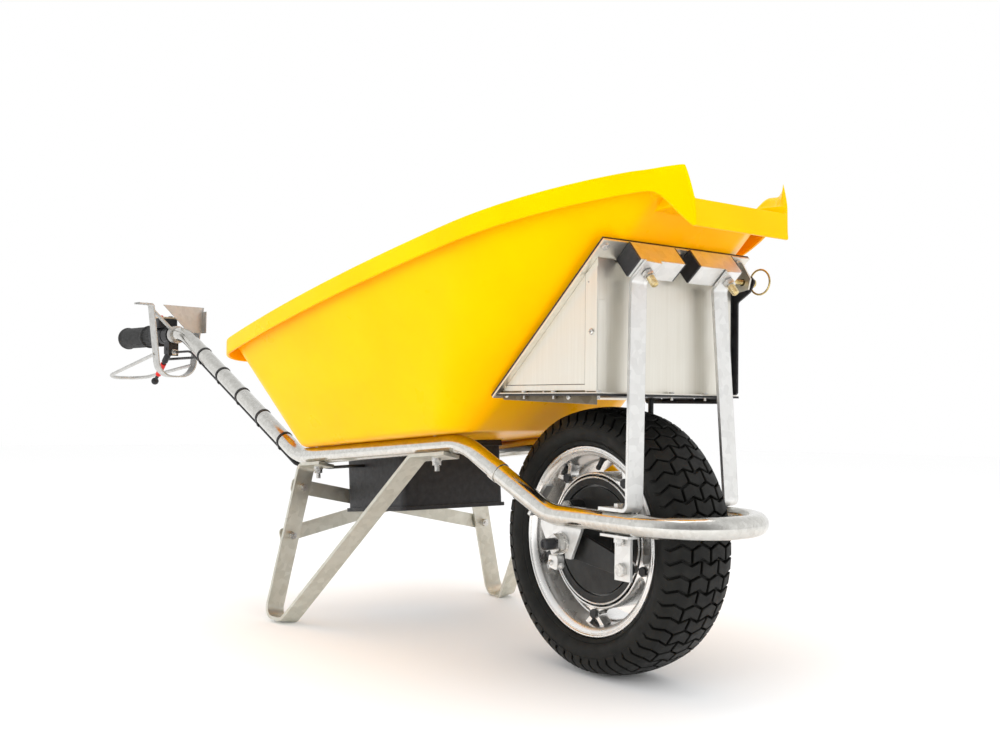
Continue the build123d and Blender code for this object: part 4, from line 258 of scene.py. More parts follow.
# %% Tint, roughness and relief
def tint(tree, shader, layer, dark, light, low=0.3, high=0.7):
    """Colour that runs from dark to light with a layer."""
    ramp = add(tree, "ValToRGB")
    for stop, position, colour in zip(ramp.color_ramp.elements, (low, high), (dark, light)):
        stop.position, stop.color = position, (*colour, 1)
    wire(tree, layer[0], layer[1], ramp, "Fac")
    wire(tree, ramp, "Color", shader, "Base Color")
    return ramp


def roughen(tree, shader, layer, low, high):
    """Roughness that runs from low to high with a layer."""
    span = add(tree, "MapRange", From_Min=0.3, From_Max=0.7, To_Min=low, To_Max=high)
    wire(tree, layer[0], layer[1], span, "Value")
    wire(tree, span, "Result", shader, "Roughness")


def relief(tree, shader, layers, radius=0.0):
    """Bumps from (layer, depth in metres) pairs, over edges rounded to a radius."""
    below = None
    if radius:
        below = add(tree, "Bevel", {"samples": 4}, Radius=radius)
    for layer, depth in layers:
        bump = add(tree, "Bump", Strength=1.0, Distance=depth)
        wire(tree, layer[0], layer[1], bump, "Height")
        if below is not None:
            wire(tree, below, "Normal", bump, "Normal")
        below = bump
    wire(tree, below, "Normal", shader, "Normal")


def rub_edges(tree, shader, ramp, colour, radius):
    """Edges rubbed to another colour, found where a rounded edge leaves the surface's normal."""
    bent = add(tree, "Bevel", {"samples": 4}, Radius=radius)
    flat = add(tree, "NewGeometry")
    match = add(tree, "VectorMath", {"operation": "DOT_PRODUCT"})
    wire(tree, bent, "Normal", match, 0)
    wire(tree, flat, "Normal", match, 1)
    edge = add(tree, "MapRange", From_Min=0.98, From_Max=0.90, To_Min=0.0, To_Max=0.5)
    wire(tree, match, "Value", edge, "Value")
    mix = add(tree, "MixRGB", Color2=(*colour, 1))
    wire(tree, edge, "Result", mix, "Fac")
    wire(tree, ramp, "Color", mix, "Color1")
    wire(tree, mix, "Color", shader, "Base Color")

# %% [markdown]
# ## Zinc and steel
# The tubes, legs and bars are dipped in molten zinc, which sets in flat crystal patches. A
# photograph of zinc could be laid on, but it would stretch round the bends, so cells of Voronoi
# noise in space make the patches instead. Tubes are smooth and bright, bars duller and scuffed, and
# the legs dullest and warmest. The bars' zinc is also tinted paler than the rest, as painted light
# standing in for the lamp light that their front faces miss.

# %% Zinc and steel
def zinc(name, dark, light, rough, crystals, edge, scuffs=0.0, swell=0.0004):
    """Galvanised steel: crystal patches, small pits, an edge tone, a slow swell and scuffs."""
    finish, tree, shader = begin(name, light, metallic=1.0)
    patches = spangle(tree, crystals)
    ramp = tint(tree, shader, patches, dark, light, 0.0, 1.0)
    roughen(tree, shader, noise(tree, 60, 6), *rough)
    pits = noise(tree, 900, 3)
    waves = noise(tree, 35, 3)
    relief(tree, shader, [(waves, swell + scuffs), (pits, 0.00002 + scuffs * 0.15)], radius=0.0008)
    rub_edges(tree, shader, ramp, (edge, edge, edge * 0.97), 0.0012)
    return finish


def plated(name, dark, light, rough):
    """Bright plated fasteners."""
    finish, tree, shader = begin(name, light, metallic=1.0)
    ramp = tint(tree, shader, noise(tree, 220, 5), dark, light)
    roughen(tree, shader, noise(tree, 120, 4), *rough)
    relief(tree, shader, [(noise(tree, 700, 3), 0.00008)], radius=0.0006)
    rub_edges(tree, shader, ramp, (0.95, 0.94, 0.92), 0.0008)
    return finish


tube_zinc = zinc("tube_zinc", (0.60, 0.59, 0.555), (0.70, 0.693, 0.66), rough=(0.12, 0.19),
                 crystals=190, edge=0.8, swell=0.00012)
# The bars' zinc is made paler as painted light, standing in for lamp light on the struts' front
# faces.
bar_zinc_painted_light = zinc("bar_zinc_painted_light", (0.77, 0.77, 0.755), (0.86, 0.86, 0.845), rough=(0.40, 0.56),
                crystals=90, edge=0.36, scuffs=0.0004)
leg_zinc = zinc("leg_zinc", (0.63, 0.62, 0.545), (0.72, 0.71, 0.635), rough=(0.42, 0.58),
                crystals=90, edge=0.85, scuffs=0.0004)
guard_zinc = zinc("guard_zinc", (0.54, 0.535, 0.515), (0.62, 0.615, 0.595), rough=(0.42, 0.55),
                  crystals=120, edge=0.34, scuffs=0.0002)
bolt_zinc = plated("bolt_zinc", (0.50, 0.49, 0.47), (0.78, 0.77, 0.74), (0.20, 0.40))
yellow_zinc = plated("yellow_zinc", (0.50, 0.38, 0.14), (0.82, 0.66, 0.34), (0.22, 0.40))
bearing_steel = plated("bearing_steel", (0.50, 0.50, 0.52), (0.72, 0.72, 0.74), (0.12, 0.26))
magnet_nickel = plated("magnet_nickel", (0.55, 0.54, 0.50), (0.74, 0.73, 0.70), (0.14, 0.28))
winding_copper = plated("winding_copper", (0.45, 0.17, 0.06), (0.80, 0.38, 0.17), (0.22, 0.40))
print("metals:", tube_zinc.name, bar_zinc_painted_light.name, leg_zinc.name, guard_zinc.name)

# %% [markdown]
# ## Aluminium
# The housing is plain rolled sheet and the rim is polished on a lathe. Both could share one grey
# metal, but their grain tells them apart: noise stretched along the rolling direction for the
# sheet, and fine rings about the axle for the rim.

# %% Sheet aluminium and the polished rim
def sheet_aluminium():
    """Mill-finish sheet: long rolling streaks up and down, a soft buckle and a warm sheen."""
    finish, tree, shader = begin("sheet_aluminium", (0.80, 0.77, 0.69), metallic=1.0)
    streaks = noise(tree, 240, 5, stretch=(1, 1, 0.03))
    ramp = tint(tree, shader, streaks, (0.785, 0.755, 0.675), (0.83, 0.805, 0.73))
    roughen(tree, shader, noise(tree, 30, 5), 0.34, 0.46)
    relief(tree, shader, [(noise(tree, 7, 2), 0.0025), (streaks, 0.00001)], radius=0.0008)
    rub_edges(tree, shader, ramp, (0.97, 0.96, 0.94), 0.001)
    return finish


def polished_alloy():
    """Turned and polished alloy, with fine rings round the axle."""
    finish, tree, shader = begin("polished_alloy", (0.88, 0.88, 0.88), metallic=1.0)
    rings = add(tree, "TexWave", {"wave_type": "RINGS", "rings_direction": "Y"},
                Scale=160, Distortion=0.3)
    wire(tree, mapped(tree, origin=AXLE), "Vector", rings, "Vector")
    ramp = tint(tree, shader, noise(tree, 22, 2), (0.84, 0.83, 0.81), (0.90, 0.895, 0.88))
    roughen(tree, shader, noise(tree, 26, 3), 0.24, 0.30)
    relief(tree, shader, [((rings, "Fac"), 0.000008)], radius=0.0012)
    rub_edges(tree, shader, ramp, (0.97, 0.97, 0.97), 0.0012)
    return finish


sheet = sheet_aluminium()
alloy = polished_alloy()
print("aluminium:", sheet.name, alloy.name)

# %% [markdown]
# ## Tray plastic
# The tray is thick moulded plastic. A flat yellow would look like paint, so a little light is let
# into it, and a slow ripple bends its soft highlights as a moulding does.

# %% Moulded tray plastic
def tray_plastic():
    """Moulded plastic: a deep yellow that light soaks into, with a slow ripple and a fine skin."""
    finish, tree, shader = begin("tray_plastic", (1.0, 0.475, 0.0), rough=0.3)
    tint(tree, shader, noise(tree, 9, 3), (1.0, 0.455, 0.0), (1.0, 0.495, 0.0))
    roughen(tree, shader, noise(tree, 14, 4), 0.26, 0.36)
    relief(tree, shader, [(noise(tree, 8, 2), 0.002), (noise(tree, 260, 3), 0.00005)])
    shader.inputs["Specular IOR Level"].default_value = 0.14
    shader.inputs["Specular Tint"].default_value = (1.0, 0.75, 0.0, 1)
    shader.inputs["Subsurface Weight"].default_value = 0.2
    shader.inputs["Subsurface Radius"].default_value = (1.0, 0.5, 0.02)
    shader.inputs["Subsurface Scale"].default_value = 0.012
    return finish


tray_yellow = tray_plastic()
print("tray:", tray_yellow.name)

# %% [markdown]
# ## Black plastics, rubber and paint
# Most small pieces are black, yet no two blacks are the same: rubber is dull, cable skins shine,
# paint is between. Each could have its own function, but one with a grain, a sheen and rubbed edges
# makes them all, and the coloured pieces too. Only the tyre has its own, with a bloom of dust and
# fine pores.

# %% Black plastics, rubber and paint
EDGE_ROUND, WORN_BLACK = 0.0008, (0.10, 0.10, 0.10)


def dark_plastic(name, dark, light, rough, grain, depth, rubbed=WORN_BLACK):
    """A moulded or painted surface with a fine grain and slightly rubbed edges."""
    finish, tree, shader = begin(name, light)
    ramp = tint(tree, shader, noise(tree, grain / 8, 5), dark, light)
    roughen(tree, shader, noise(tree, grain / 5, 4), *rough)
    relief(tree, shader, [(noise(tree, grain, 3), depth)], radius=EDGE_ROUND)
    rub_edges(tree, shader, ramp, rubbed, EDGE_ROUND * 1.5)
    shader.inputs["Specular IOR Level"].default_value = 0.32
    return finish


def tyre_rubber():
    """Black rubber: a dull mould skin with faint dust and fine pores."""
    finish, tree, shader = begin("tyre_rubber", (0.010, 0.010, 0.009))
    tint(tree, shader, noise(tree, 55, 6), (0.005, 0.005, 0.0045), (0.011, 0.011, 0.0095))
    roughen(tree, shader, noise(tree, 80, 5), 0.42, 0.62)
    shader.inputs["Specular IOR Level"].default_value = 0.2
    relief(tree, shader, [(noise(tree, 24, 2), 0.0006), (noise(tree, 900, 3), 0.00010)])
    return finish


# Each recipe: darker and lighter colour, roughness from and to, grain per metre, depth, edge.
RECIPES = {
    "moulded_black": ((0.012, 0.012, 0.013), (0.026, 0.026, 0.028), (0.34, 0.52), 700, 0.0001),
    "soft_black": ((0.012, 0.012, 0.012), (0.028, 0.028, 0.028), (0.55, 0.72), 900, 0.00014),
    "cable_black": ((0.012, 0.012, 0.012), (0.022, 0.022, 0.022), (0.30, 0.46), 500, 0.00006),
    "satin_black": ((0.012, 0.012, 0.013), (0.024, 0.024, 0.026), (0.28, 0.44), 300, 0.00012),
    "hub_paint": ((0.008, 0.008, 0.008), (0.018, 0.018, 0.017), (0.30, 0.50), 420, 0.00018),
    "lever_red": ((0.48, 0.012, 0.010), (0.68, 0.022, 0.016), (0.22, 0.36), 300, 0.00005,
                  (0.8, 0.1, 0.08)),
    "panel_tan": ((0.40, 0.29, 0.18), (0.52, 0.40, 0.27), (0.38, 0.55), 600, 0.00006,
                  (0.6, 0.5, 0.36)),
    "button_red": ((0.45, 0.02, 0.015), (0.62, 0.03, 0.02), (0.25, 0.38), 500, 0.00005,
                   (0.75, 0.15, 0.1)),
    "button_grey": ((0.20, 0.20, 0.21), (0.30, 0.30, 0.32), (0.30, 0.45), 500, 0.00005,
                    (0.45, 0.45, 0.45)),
    "cast_iron": ((0.10, 0.10, 0.10), (0.22, 0.22, 0.21), (0.45, 0.65), 500, 0.0003,
                  (0.4, 0.4, 0.4)),
    "cast_case": ((0.34, 0.35, 0.36), (0.48, 0.49, 0.50), (0.35, 0.5), 400, 0.0002,
                  (0.7, 0.7, 0.7)),
    "pack_wrap": ((0.05, 0.09, 0.18), (0.09, 0.15, 0.28), (0.22, 0.36), 200, 0.0002,
                  (0.15, 0.22, 0.36)),
}
paint = {name: dark_plastic(name, *recipe) for name, recipe in RECIPES.items()}
rubber = tyre_rubber()
print("paints:", len(paint))

# %% [markdown]
# ## Finishes on the solids
# The record gives each solid a material slot. A finish could be set by hand on all of them, but a
# table from slot to finish dresses them in one loop, with a short list of pieces that differ from
# their slot.

# %% Give every solid its finish
FINISHES = {
    **paint, "galvanised_steel": bar_zinc_painted_light, "fastener_steel": bolt_zinc, "yellow_zinc": yellow_zinc,
    "housing_aluminium": sheet, "rim_alloy": alloy, "tray_yellow": tray_yellow,
    "tyre_rubber": rubber, "dark_sheet": paint["satin_black"], "lever_black": paint["satin_black"],
    "black_plastic": paint["moulded_black"], "black_rubber": paint["soft_black"],
    "hub_black": paint["hub_paint"], "controller_case": paint["cast_case"],
    "magnet_nickel": magnet_nickel, "copper": winding_copper,
}
SPECIAL = {
    "handle_tubes": tube_zinc, "nose_loop": tube_zinc, "splices": tube_zinc, "guard": guard_zinc,
    "left_leg": leg_zinc, "right_leg": leg_zinc, "braces": leg_zinc, "bearings": bearing_steel,
    "axle": bearing_steel, "brake_cable": paint["cable_black"], "wiring": paint["cable_black"],
    "hub_bolts": paint["satin_black"],
}


def dress(piece, finish):
    """Puts one finish on every slot of a piece."""
    piece.data.materials.clear()
    piece.data.materials.append(finish)


for node_name, solid in frame["nodes"].items():
    dress(solid, SPECIAL.get(node_name, FINISHES[SLOTS[node_name]]))
print("dressed:", len(frame["nodes"]), "solids")

# %% [markdown]
# ## Helpers for making pieces
# A piece is a list of points in millimetres and a list of faces. It could be modelled by hand, but
# points worked out from a few sizes are easy to change. Sharp edges are found by angle, so rounded
# stretches shade smoothly and real corners stay crisp.

# %% New pieces
def make_piece(name, points, faces, body, slot, finish, sharp=35):
    """A mesh piece in the frame, riding a body, with its faces turned outwards."""
    mesh = bpy.data.meshes.new(name)
    mesh.from_pydata([place(*point) for point in points], [], faces)
    shape = bmesh.new()
    shape.from_mesh(mesh)
    bmesh.ops.remove_doubles(shape, verts=shape.verts, dist=1e-6)
    bmesh.ops.recalc_face_normals(shape, faces=shape.faces)
    shape.to_mesh(mesh)
    shape.free()
    mesh.polygons.foreach_set("use_smooth", [True] * len(mesh.polygons))
    mesh.set_sharp_from_angle(angle=math.radians(sharp))
    piece = bpy.data.objects.new(name, mesh)
    bpy.context.scene.collection.objects.link(piece)
    mesh.materials.append(finish)
    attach(piece, body)
    print(name, "faces:", len(mesh.polygons))
    return piece


def grid_faces(columns, rows, loop_columns=False, loop_rows=False):
    """Quads between neighbouring columns of points, each column being a run of rows."""
    faces = []
    for i in range(columns if loop_columns else columns - 1):
        for j in range(rows if loop_rows else rows - 1):
            a, b = i * rows + j, ((i + 1) % columns) * rows + j
            c, d = ((i + 1) % columns) * rows + (j + 1) % rows, i * rows + (j + 1) % rows
            faces.append((a, b, c, d))
    return faces


def flipped(points):
    """The same points on the other side of the barrow's middle."""
    return [Vector((p.x, -p.y, p.z)) for p in points]


def spread(start, end, count):
    """Evenly spaced numbers from start to end, both kept."""
    return [start + (end - start) * i / (count - 1) for i in range(count)]


def ease(t):
    """A smooth step from 0 to 1."""
    t = min(max(t, 0.0), 1.0)
    return t * t * (3 - 2 * t)

# %% Turned pieces
def turned(start, axis, profile, sides=40):
    """A solid turned about any line, from (along, radius) points that start and end on it."""
    axis = Vector(axis).normalized()
    across = axis.orthogonal().normalized()
    other = axis.cross(across)
    points = []
    for i in range(sides):
        turn = 2 * math.pi * i / sides
        out = across * math.cos(turn) + other * math.sin(turn)
        points += [Vector(start) + axis * along + out * radius for along, radius in profile]
    return points, grid_faces(sides, len(profile), loop_columns=True)

# %% [markdown]
# ## Tray outlines
# The tray is moulded in one piece: a floor, leaning walls, and a rolled rim whose band hangs down
# outside like the edge of a bucket. Seen from above, the rim and the floor are two outlines of
# straight runs and arcs. They could be drawn as curves and lofted, but a loft slides its points
# along the edge. Here both outlines have the same points in the same order, so each rim point has
# its own floor point below it.

# %% Tray outlines
BED_REAR, BED_HALF, BED_CORNER = -688.0, 212.0, 50.0
BED_NOSE_HALF, BED_NOSE_CORNER, BED_SLOPE, BED_Z = 120.0, 62.0, 0.0907127, 384.085
WALL_Z, WALL_RISE = 526.855, 0.848249
RIM_X, RIM_Z, RIM_SLOPE = 246.0, 735.0, 0.2035
RIM_REAR, RIM_HALF, RIM_CORNER, RIM_TIP = -798.0, 332.0, 72.0, 101.0
FLANK_MID, FLANK_END = (-283.0, 313.0), (-60.0, 281.0)
FLANGE, WALL, DECK, BAND, LIP_Z = 17.0, 6.0, 6.0, 30.0, 650.0
HORN = ((101.0, 735.0), (100.4, 731.0), (99.4, 700.0), (98.4, 689.0), (96.5, 687.0), (0.0, 687.0))
HORN_DECK, HORN_REACH, LIP_AHEAD, LIP_NARROW = 701.0, 44.0, 15.0, 6.0
BED_NOSE = (BED_Z - WALL_Z) / (WALL_RISE - BED_SLOPE)
COUNTS = {"rear": 7, "corner": 12, "flank": 24, "nose": 22}
TIPS = [101, 100.7, 100.4, 100.1, 99.8, 99.4, 99, 98.4, 97.6, 96.5, 94, 89, 82, 72, 55, 35, 16, 0]


def arc(centre, start, end, count):
    """Points on a round arc about a centre, the last one left off."""
    first = math.atan2(start[1] - centre[1], start[0] - centre[0])
    turn = math.atan2(end[1] - centre[1], end[0] - centre[0]) - first
    turn = (turn + math.pi) % (2 * math.pi) - math.pi
    radius = math.dist(centre, start)
    return [(centre[0] + radius * math.cos(first + turn * i / count),
             centre[1] + radius * math.sin(first + turn * i / count)) for i in range(count)]


def centre_through(a, b, c):
    """The centre of the circle through three points."""
    d = 2 * (a[0] * (b[1] - c[1]) + b[0] * (c[1] - a[1]) + c[0] * (a[1] - b[1]))
    sq = [p[0] ** 2 + p[1] ** 2 for p in (a, b, c)]
    return ((sq[0] * (b[1] - c[1]) + sq[1] * (c[1] - a[1]) + sq[2] * (a[1] - b[1])) / d,
            (sq[0] * (c[0] - b[0]) + sq[1] * (a[0] - c[0]) + sq[2] * (b[0] - a[0])) / d)


def rim_outline(inset, front_inset):
    """The rim's left half in plan, from the middle of the back to the middle of the front."""
    rear, wide, corner = RIM_REAR + inset, RIM_HALF - inset, RIM_CORNER - inset
    front, tip = RIM_X - front_inset, RIM_TIP - inset * RIM_TIP / FLANK_END[1] - front_inset
    start, turn = (rear + corner, wide), (FLANK_END[0], FLANK_END[1] - inset)
    flank = centre_through(start, (FLANK_MID[0], FLANK_MID[1] - inset), turn)
    reach = math.dist(flank, turn)
    inward = ((flank[0] - turn[0]) / reach, (flank[1] - turn[1]) / reach)
    gap = (front - turn[0], tip - turn[1])
    radius = (gap[0] ** 2 + gap[1] ** 2) / (2 * (inward[0] * gap[0] + inward[1] * gap[1]))
    nose = (turn[0] + inward[0] * radius, turn[1] + inward[1] * radius)
    points = [(rear, y) for y in spread(0, wide - corner, COUNTS["rear"])[:-1]]
    points += arc((rear + corner, wide - corner), (rear, wide - corner), start, COUNTS["corner"])
    points += arc(flank, start, turn, COUNTS["flank"])
    points += arc(nose, turn, (front, tip), COUNTS["nose"])
    return points + [(front, tip * y / RIM_TIP) for y in TIPS]


def bed_outline(inset, front):
    """The floor's left half in plan, drawn in, with the front edge at a given place."""
    rear, wide, corner = BED_REAR + inset, BED_HALF - inset, BED_CORNER - inset
    round_front, tip = BED_NOSE_CORNER - inset, BED_NOSE_HALF
    start, end = (rear + corner, wide), (front - round_front, tip + round_front)
    points = [(rear, y) for y in spread(0, wide - corner, COUNTS["rear"])[:-1]]
    points += arc((rear + corner, wide - corner), (rear, wide - corner), start, COUNTS["corner"])
    along, across = (spread(a, b, COUNTS["flank"] + 1)[:-1] for a, b in zip(start, end))
    points += zip(along, across)
    points += arc((front - round_front, tip), end, (front, tip), COUNTS["nose"])
    return points + [(front, tip * y / RIM_TIP) for y in TIPS]


print("rim points:", len(rim_outline(0, 0)), "floor points:", len(bed_outline(0, BED_NOSE)))

# %% [markdown]
# ## Tray sections
# At the front the rim drops into a pouring lip between two small horns. One column of points runs
# round each cross-section, from the floor outside, over the rim, to the floor inside. A thickness
# modifier on one sheet would be shorter, but it can't make the band, so the columns carry both
# faces of the wall.

# %% Tray cross-sections
SOLE_OUTSIDE, SOLE_INSIDE, FRONT_THICKER, FRONT_LEAN = 40.0, 34.0, 1.5, 1.15
SAG_START, SAG_RUN, BAND_RUN, LIP_CURVE = 58.0, 40.0, 40.0, 2.5
BENDS, BEND_STEPS, SHORTEST_BEND, BEND_SHARE = (24, 14, 3, 2, 4, 8, 8, 12, 30), 4, 0.5, 0.46
OUTER_EDGE, SHARPENING, SHARPEN_RATE = 5, 7.3, 6


def horn_z(y):
    """Height of the front edge: two horns beside the pouring lip."""
    for (y0, z0), (y1, z1) in zip(HORN, HORN[1:]):
        if y >= y1:
            return z0 + (z1 - z0) * ease((y0 - y) / (y0 - y1))
    return HORN[-1][1]


def rim_z(x):
    """Height of the rim, which slopes up towards the front."""
    return RIM_Z + RIM_SLOPE * (x - RIM_X)


def rounded(corners, radii, steps):
    """A run of points with each inner corner rounded, always with the same number of points."""
    run = [Vector(corners[0])]
    for i in range(1, len(corners) - 1):
        here = Vector(corners[i])
        back, ahead = Vector(corners[i - 1]) - here, Vector(corners[i + 1]) - here
        half = back.angle(ahead, math.pi) / 2
        reach = min(radii[i - 1] / max(math.tan(half), SHORTEST_BEND),
                    back.length * BEND_SHARE, ahead.length * BEND_SHARE)
        first, last = here + back.normalized() * reach, here + ahead.normalized() * reach
        for step in range(steps + 1):
            t = step / steps
            shares = ((1 - t) ** 2, 2 * t * (1 - t) * math.sin(half), t ** 2)
            run.append((first * shares[0] + here * shares[1] + last * shares[2]) / sum(shares))
    return run + [Vector(corners[-1])]


def corner_shift(z, y):
    """How the front corner moves on its way down from the rim: forward, and a little inward."""
    share = min(max((z - LIP_Z) / (RIM_Z - LIP_Z), 0), 1)
    ahead = LIP_AHEAD * (1 - share ** LIP_CURVE)
    return Vector((ahead, -LIP_NARROW * (1 - share) * y / RIM_TIP, 0))


def bed(spot, lift):
    """A place on the sloping floor, lifted by the wall's thickness on the inside."""
    return Vector((*spot, BED_Z + BED_SLOPE * spot[0] + lift))

# %% Tray columns
def tray_columns():
    """One run of points per column, from the floor outside to the floor inside."""
    gap = RIM_X - (RIM_Z - RIM_SLOPE * RIM_X - WALL_Z) / (WALL_RISE - RIM_SLOPE)
    edge, wall = rim_outline(0, 0), rim_outline(FLANGE, gap)
    inner = rim_outline(FLANGE + WALL, gap + FRONT_THICKER * WALL)
    foot, sole = bed_outline(0, BED_NOSE), bed_outline(SOLE_OUTSIDE, BED_NOSE - SOLE_OUTSIDE)
    inside = BED_NOSE - WALL * math.hypot(1, 1 / WALL_RISE) + WALL / WALL_RISE
    foot_in, sole_in = bed_outline(WALL, inside), bed_outline(SOLE_OUTSIDE, inside - SOLE_INSIDE)
    columns = []
    first_tip = len(edge) - len(TIPS)
    for i, (x, y) in enumerate(edge):
        away = math.dist((x, y), (RIM_X, RIM_TIP))
        near, sag = ease(1 - away / HORN_REACH), ease((SAG_START - away) / SAG_RUN)
        if i < first_tip:
            top = rim_z(x)
            dip = (RIM_Z - HORN_DECK) * sag
            band = BAND + (RIM_Z - LIP_Z - BAND) * ease(1 - away / BAND_RUN)
            out, back = (Vector((*spot, rim_z(spot[0]))) for spot in (wall[i], inner[i]))
            out = out.lerp(bed(foot[i], 0), dip / (out.z - bed(foot[i], 0).z))
            back = back.lerp(bed(foot_in[i], WALL), dip / (back.z - bed(foot_in[i], WALL).z))
            lean = Vector((out.x - x, out.y - y, 0)).normalized() * DECK
        else:
            near, sag, top = 1.0, 1.0, horn_z(y)
            dip, band = max(top - HORN_DECK, 0), top - LIP_Z
            deck = top - dip
            out = Vector(((deck - WALL_Z) / WALL_RISE, wall[i][1], deck))
            back = Vector((out.x - WALL * FRONT_LEAN, inner[i][1], deck))
            lean = Vector((-DECK, 0, 0))
        under = out - Vector((DECK / WALL_RISE if i >= first_tip else 0, 0, DECK))
        high, low = (Vector((x, y, z)) + near * corner_shift(z, y) for z in (top, top - band))
        corners = [bed(sole[i], 0), bed(foot[i], 0), under,
                   high + lean - Vector((0, 0, DECK + dip)), low + lean, low, high,
                   high + lean - Vector((0, 0, dip)), back, bed(foot_in[i], WALL),
                   bed(sole_in[i], WALL)]
        radii = list(BENDS)
        radii[OUTER_EDGE] -= SHARPENING * min(1, sag * SHARPEN_RATE)
        columns.append(rounded(corners, radii, BEND_STEPS))
    return columns


left_columns = tray_columns()
print("columns:", len(left_columns), "of", len(left_columns[0]), "points")

# %% Tray mesh
def floor_faces(total, rows, row):
    """One floor: strips across the tray and a wide face at each end. Column -i mirrors i."""
    rear, front = COUNTS["rear"], total // 2 - len(TIPS)
    runs = [(i, i + 1, -i - 1, -i) for i in range(rear, front)]
    runs += [range(-rear, rear + 1), range(front, total - front + 1)]
    return [tuple(i % total * rows + row for i in run) for run in runs]


columns = left_columns + [flipped(column) for column in left_columns[-2:0:-1]]
rows, total = len(columns[0]), len(columns)
points = [point for column in columns for point in column]
faces = grid_faces(total, rows, loop_columns=True)
faces += floor_faces(total, rows, 0) + floor_faces(total, rows, rows - 1)
tray = make_piece("tray_shell", points, faces, "frame", "tray_yellow", tray_yellow, sharp=80)
smooth = tray.modifiers.new("smooth", "SUBSURF")
smooth.levels = smooth.render_levels = 1
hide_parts("tray")

# %% [markdown]
# ## Tyre surface
# The tyre's section is a shallow crown and two round sides. Everything on it is placed by how far
# it lies across from the middle of the crown, how far round the axle, and how high above the skin.
# An array bent along a curve could wrap a flat tread, but this one function does it without
# squashing the blocks.

# %% Tyre profile
TYRE_R, SHOULDER, DROP = 205.0, 49.0, 7.0
SIDE_MIDDLE, BEAD = (63.0, 172.0), (54.0, 148.0)
CROWN_R = (SHOULDER ** 2 + DROP ** 2) / (2 * DROP)
CROWN_RUN = CROWN_R * math.asin(SHOULDER / CROWN_R)
SIDE_CENTRE = centre_through((SHOULDER, TYRE_R - DROP), SIDE_MIDDLE, BEAD)
SIDE_R = math.dist(SIDE_CENTRE, BEAD)
SIDE_START = math.atan2(TYRE_R - DROP - SIDE_CENTRE[1], SHOULDER - SIDE_CENTRE[0])


def tyre_spot(run, turn, height):
    """A point at a run across from the crown's middle, a turn round the axle and a height."""
    side, run = math.copysign(1, run), abs(run)
    if run <= CROWN_RUN:
        lean = run / CROWN_R
        y = (CROWN_R + height) * math.sin(lean)
        r = TYRE_R - CROWN_R + (CROWN_R + height) * math.cos(lean)
    else:
        angle = SIDE_START - (run - CROWN_RUN) / SIDE_R
        y = SIDE_CENTRE[0] + (SIDE_R + height) * math.cos(angle)
        r = SIDE_CENTRE[1] + (SIDE_R + height) * math.sin(angle)
    return (r * math.sin(turn), side * y, TYRE_R + r * math.cos(turn))


print("crown radius:", round(CROWN_R, 1), "side radius:", round(SIDE_R, 1))

# %% [markdown]
# ## Tread
# It is a turf tread: rows of zigzag blocks with narrow grooves between them. The blocks of one row
# meet half a block over from those of the next, and the last block of each row runs down over the
# shoulder as a rib. A relief in the shader would leave the outline smooth, so each block is real,
# with small chamfers.

# %% Tyre tread
ROWS, ZIGZAG, PERIOD, GROOVE, DEPTH, CHAMFER = 58, 8.0, 34.0, 4.2, 6.5, 0.8
SINK, END_FALL, NEAREST_CUT, SHOULDER_CUTS = 1.0, 1.2, 2.0, (0, 6, 12, 18, 24)
TREAD_END, LAST_SPLIT = CROWN_RUN + 29, CROWN_RUN - 4


def zigzag(run):
    """How far round the tread line lies at a run across."""
    phase = (run / PERIOD) % 1.0
    return ZIGZAG * (2 * abs(phase - 0.5) - 0.5)


def block_runs(start, end):
    """Where a block is cut across: at its chamfers, the zigzag's bends and down the shoulder."""
    cuts = [PERIOD / 2 * k for k in range(-8, 9)]
    cuts += [side * (CROWN_RUN + reach) for reach in SHOULDER_CUTS for side in (-1, 1)]
    cuts = [cut for cut in cuts if start + NEAREST_CUT < cut < end - NEAREST_CUT]
    return sorted([start, start + CHAMFER, end - CHAMFER, end] + cuts)


def block(points, faces, row, start, end, fall_start, fall_end):
    """One tread block with chamfered edges, whose ends may fall to the sidewall."""
    runs = block_runs(start, end)
    step, first, last = 2 * math.pi * TYRE_R / ROWS, len(points), len(runs) - 1
    for k, run in enumerate(runs):
        full = -END_FALL if (k == 0 and fall_start) or (k == last and fall_end) else 0.0
        drop = CHAMFER if k in (0, last) else 0.0
        low = row * step + zigzag(run) + GROOVE / 2
        high = (row + 1) * step + zigzag(run) - GROOVE / 2
        side, top, sunk = full - CHAMFER - drop, full - drop, -DEPTH - SINK
        outline = [(low, sunk), (low, side), (low + CHAMFER, top),
                   (high - CHAMFER, top), (high, side), (high, sunk)]
        points.extend(tyre_spot(run, along / TYRE_R, height) for along, height in outline)
    width = len(outline)
    for k in range(last):
        for j in range(width):
            a, b = first + k * width + j, first + k * width + (j + 1) % width
            faces.append((a, b, b + width, a + width))
    faces.append(tuple(first + j for j in range(width)))
    faces.append(tuple(first + last * width + j for j in range(width)))


def tread_blocks():
    """All blocks: rows split at the zigzag's peaks and its valleys in turn."""
    points, faces = [], []
    for row in range(ROWS):
        splits = [PERIOD * (k + (0.5 if row % 2 else 0.0)) for k in range(-2, 3)]
        bounds = [-TREAD_END] + [s for s in splits if abs(s) < LAST_SPLIT] + [TREAD_END]
        for start, stop in zip(bounds, bounds[1:]):
            at_left, at_right = start == -TREAD_END, stop == TREAD_END
            block(points, faces, row, start + (0 if at_left else GROOVE / 2),
                  stop - (0 if at_right else GROOVE / 2), at_left, at_right)
    return points, faces


tread = tread_blocks()
print("tread points:", len(tread[0]))

# %% [markdown]
# ## Carcass
# Under the blocks lies the carcass, a closed ring from bead to bead. A screw modifier would turn it
# too; a plain loop keeps its points next to those of the tread.

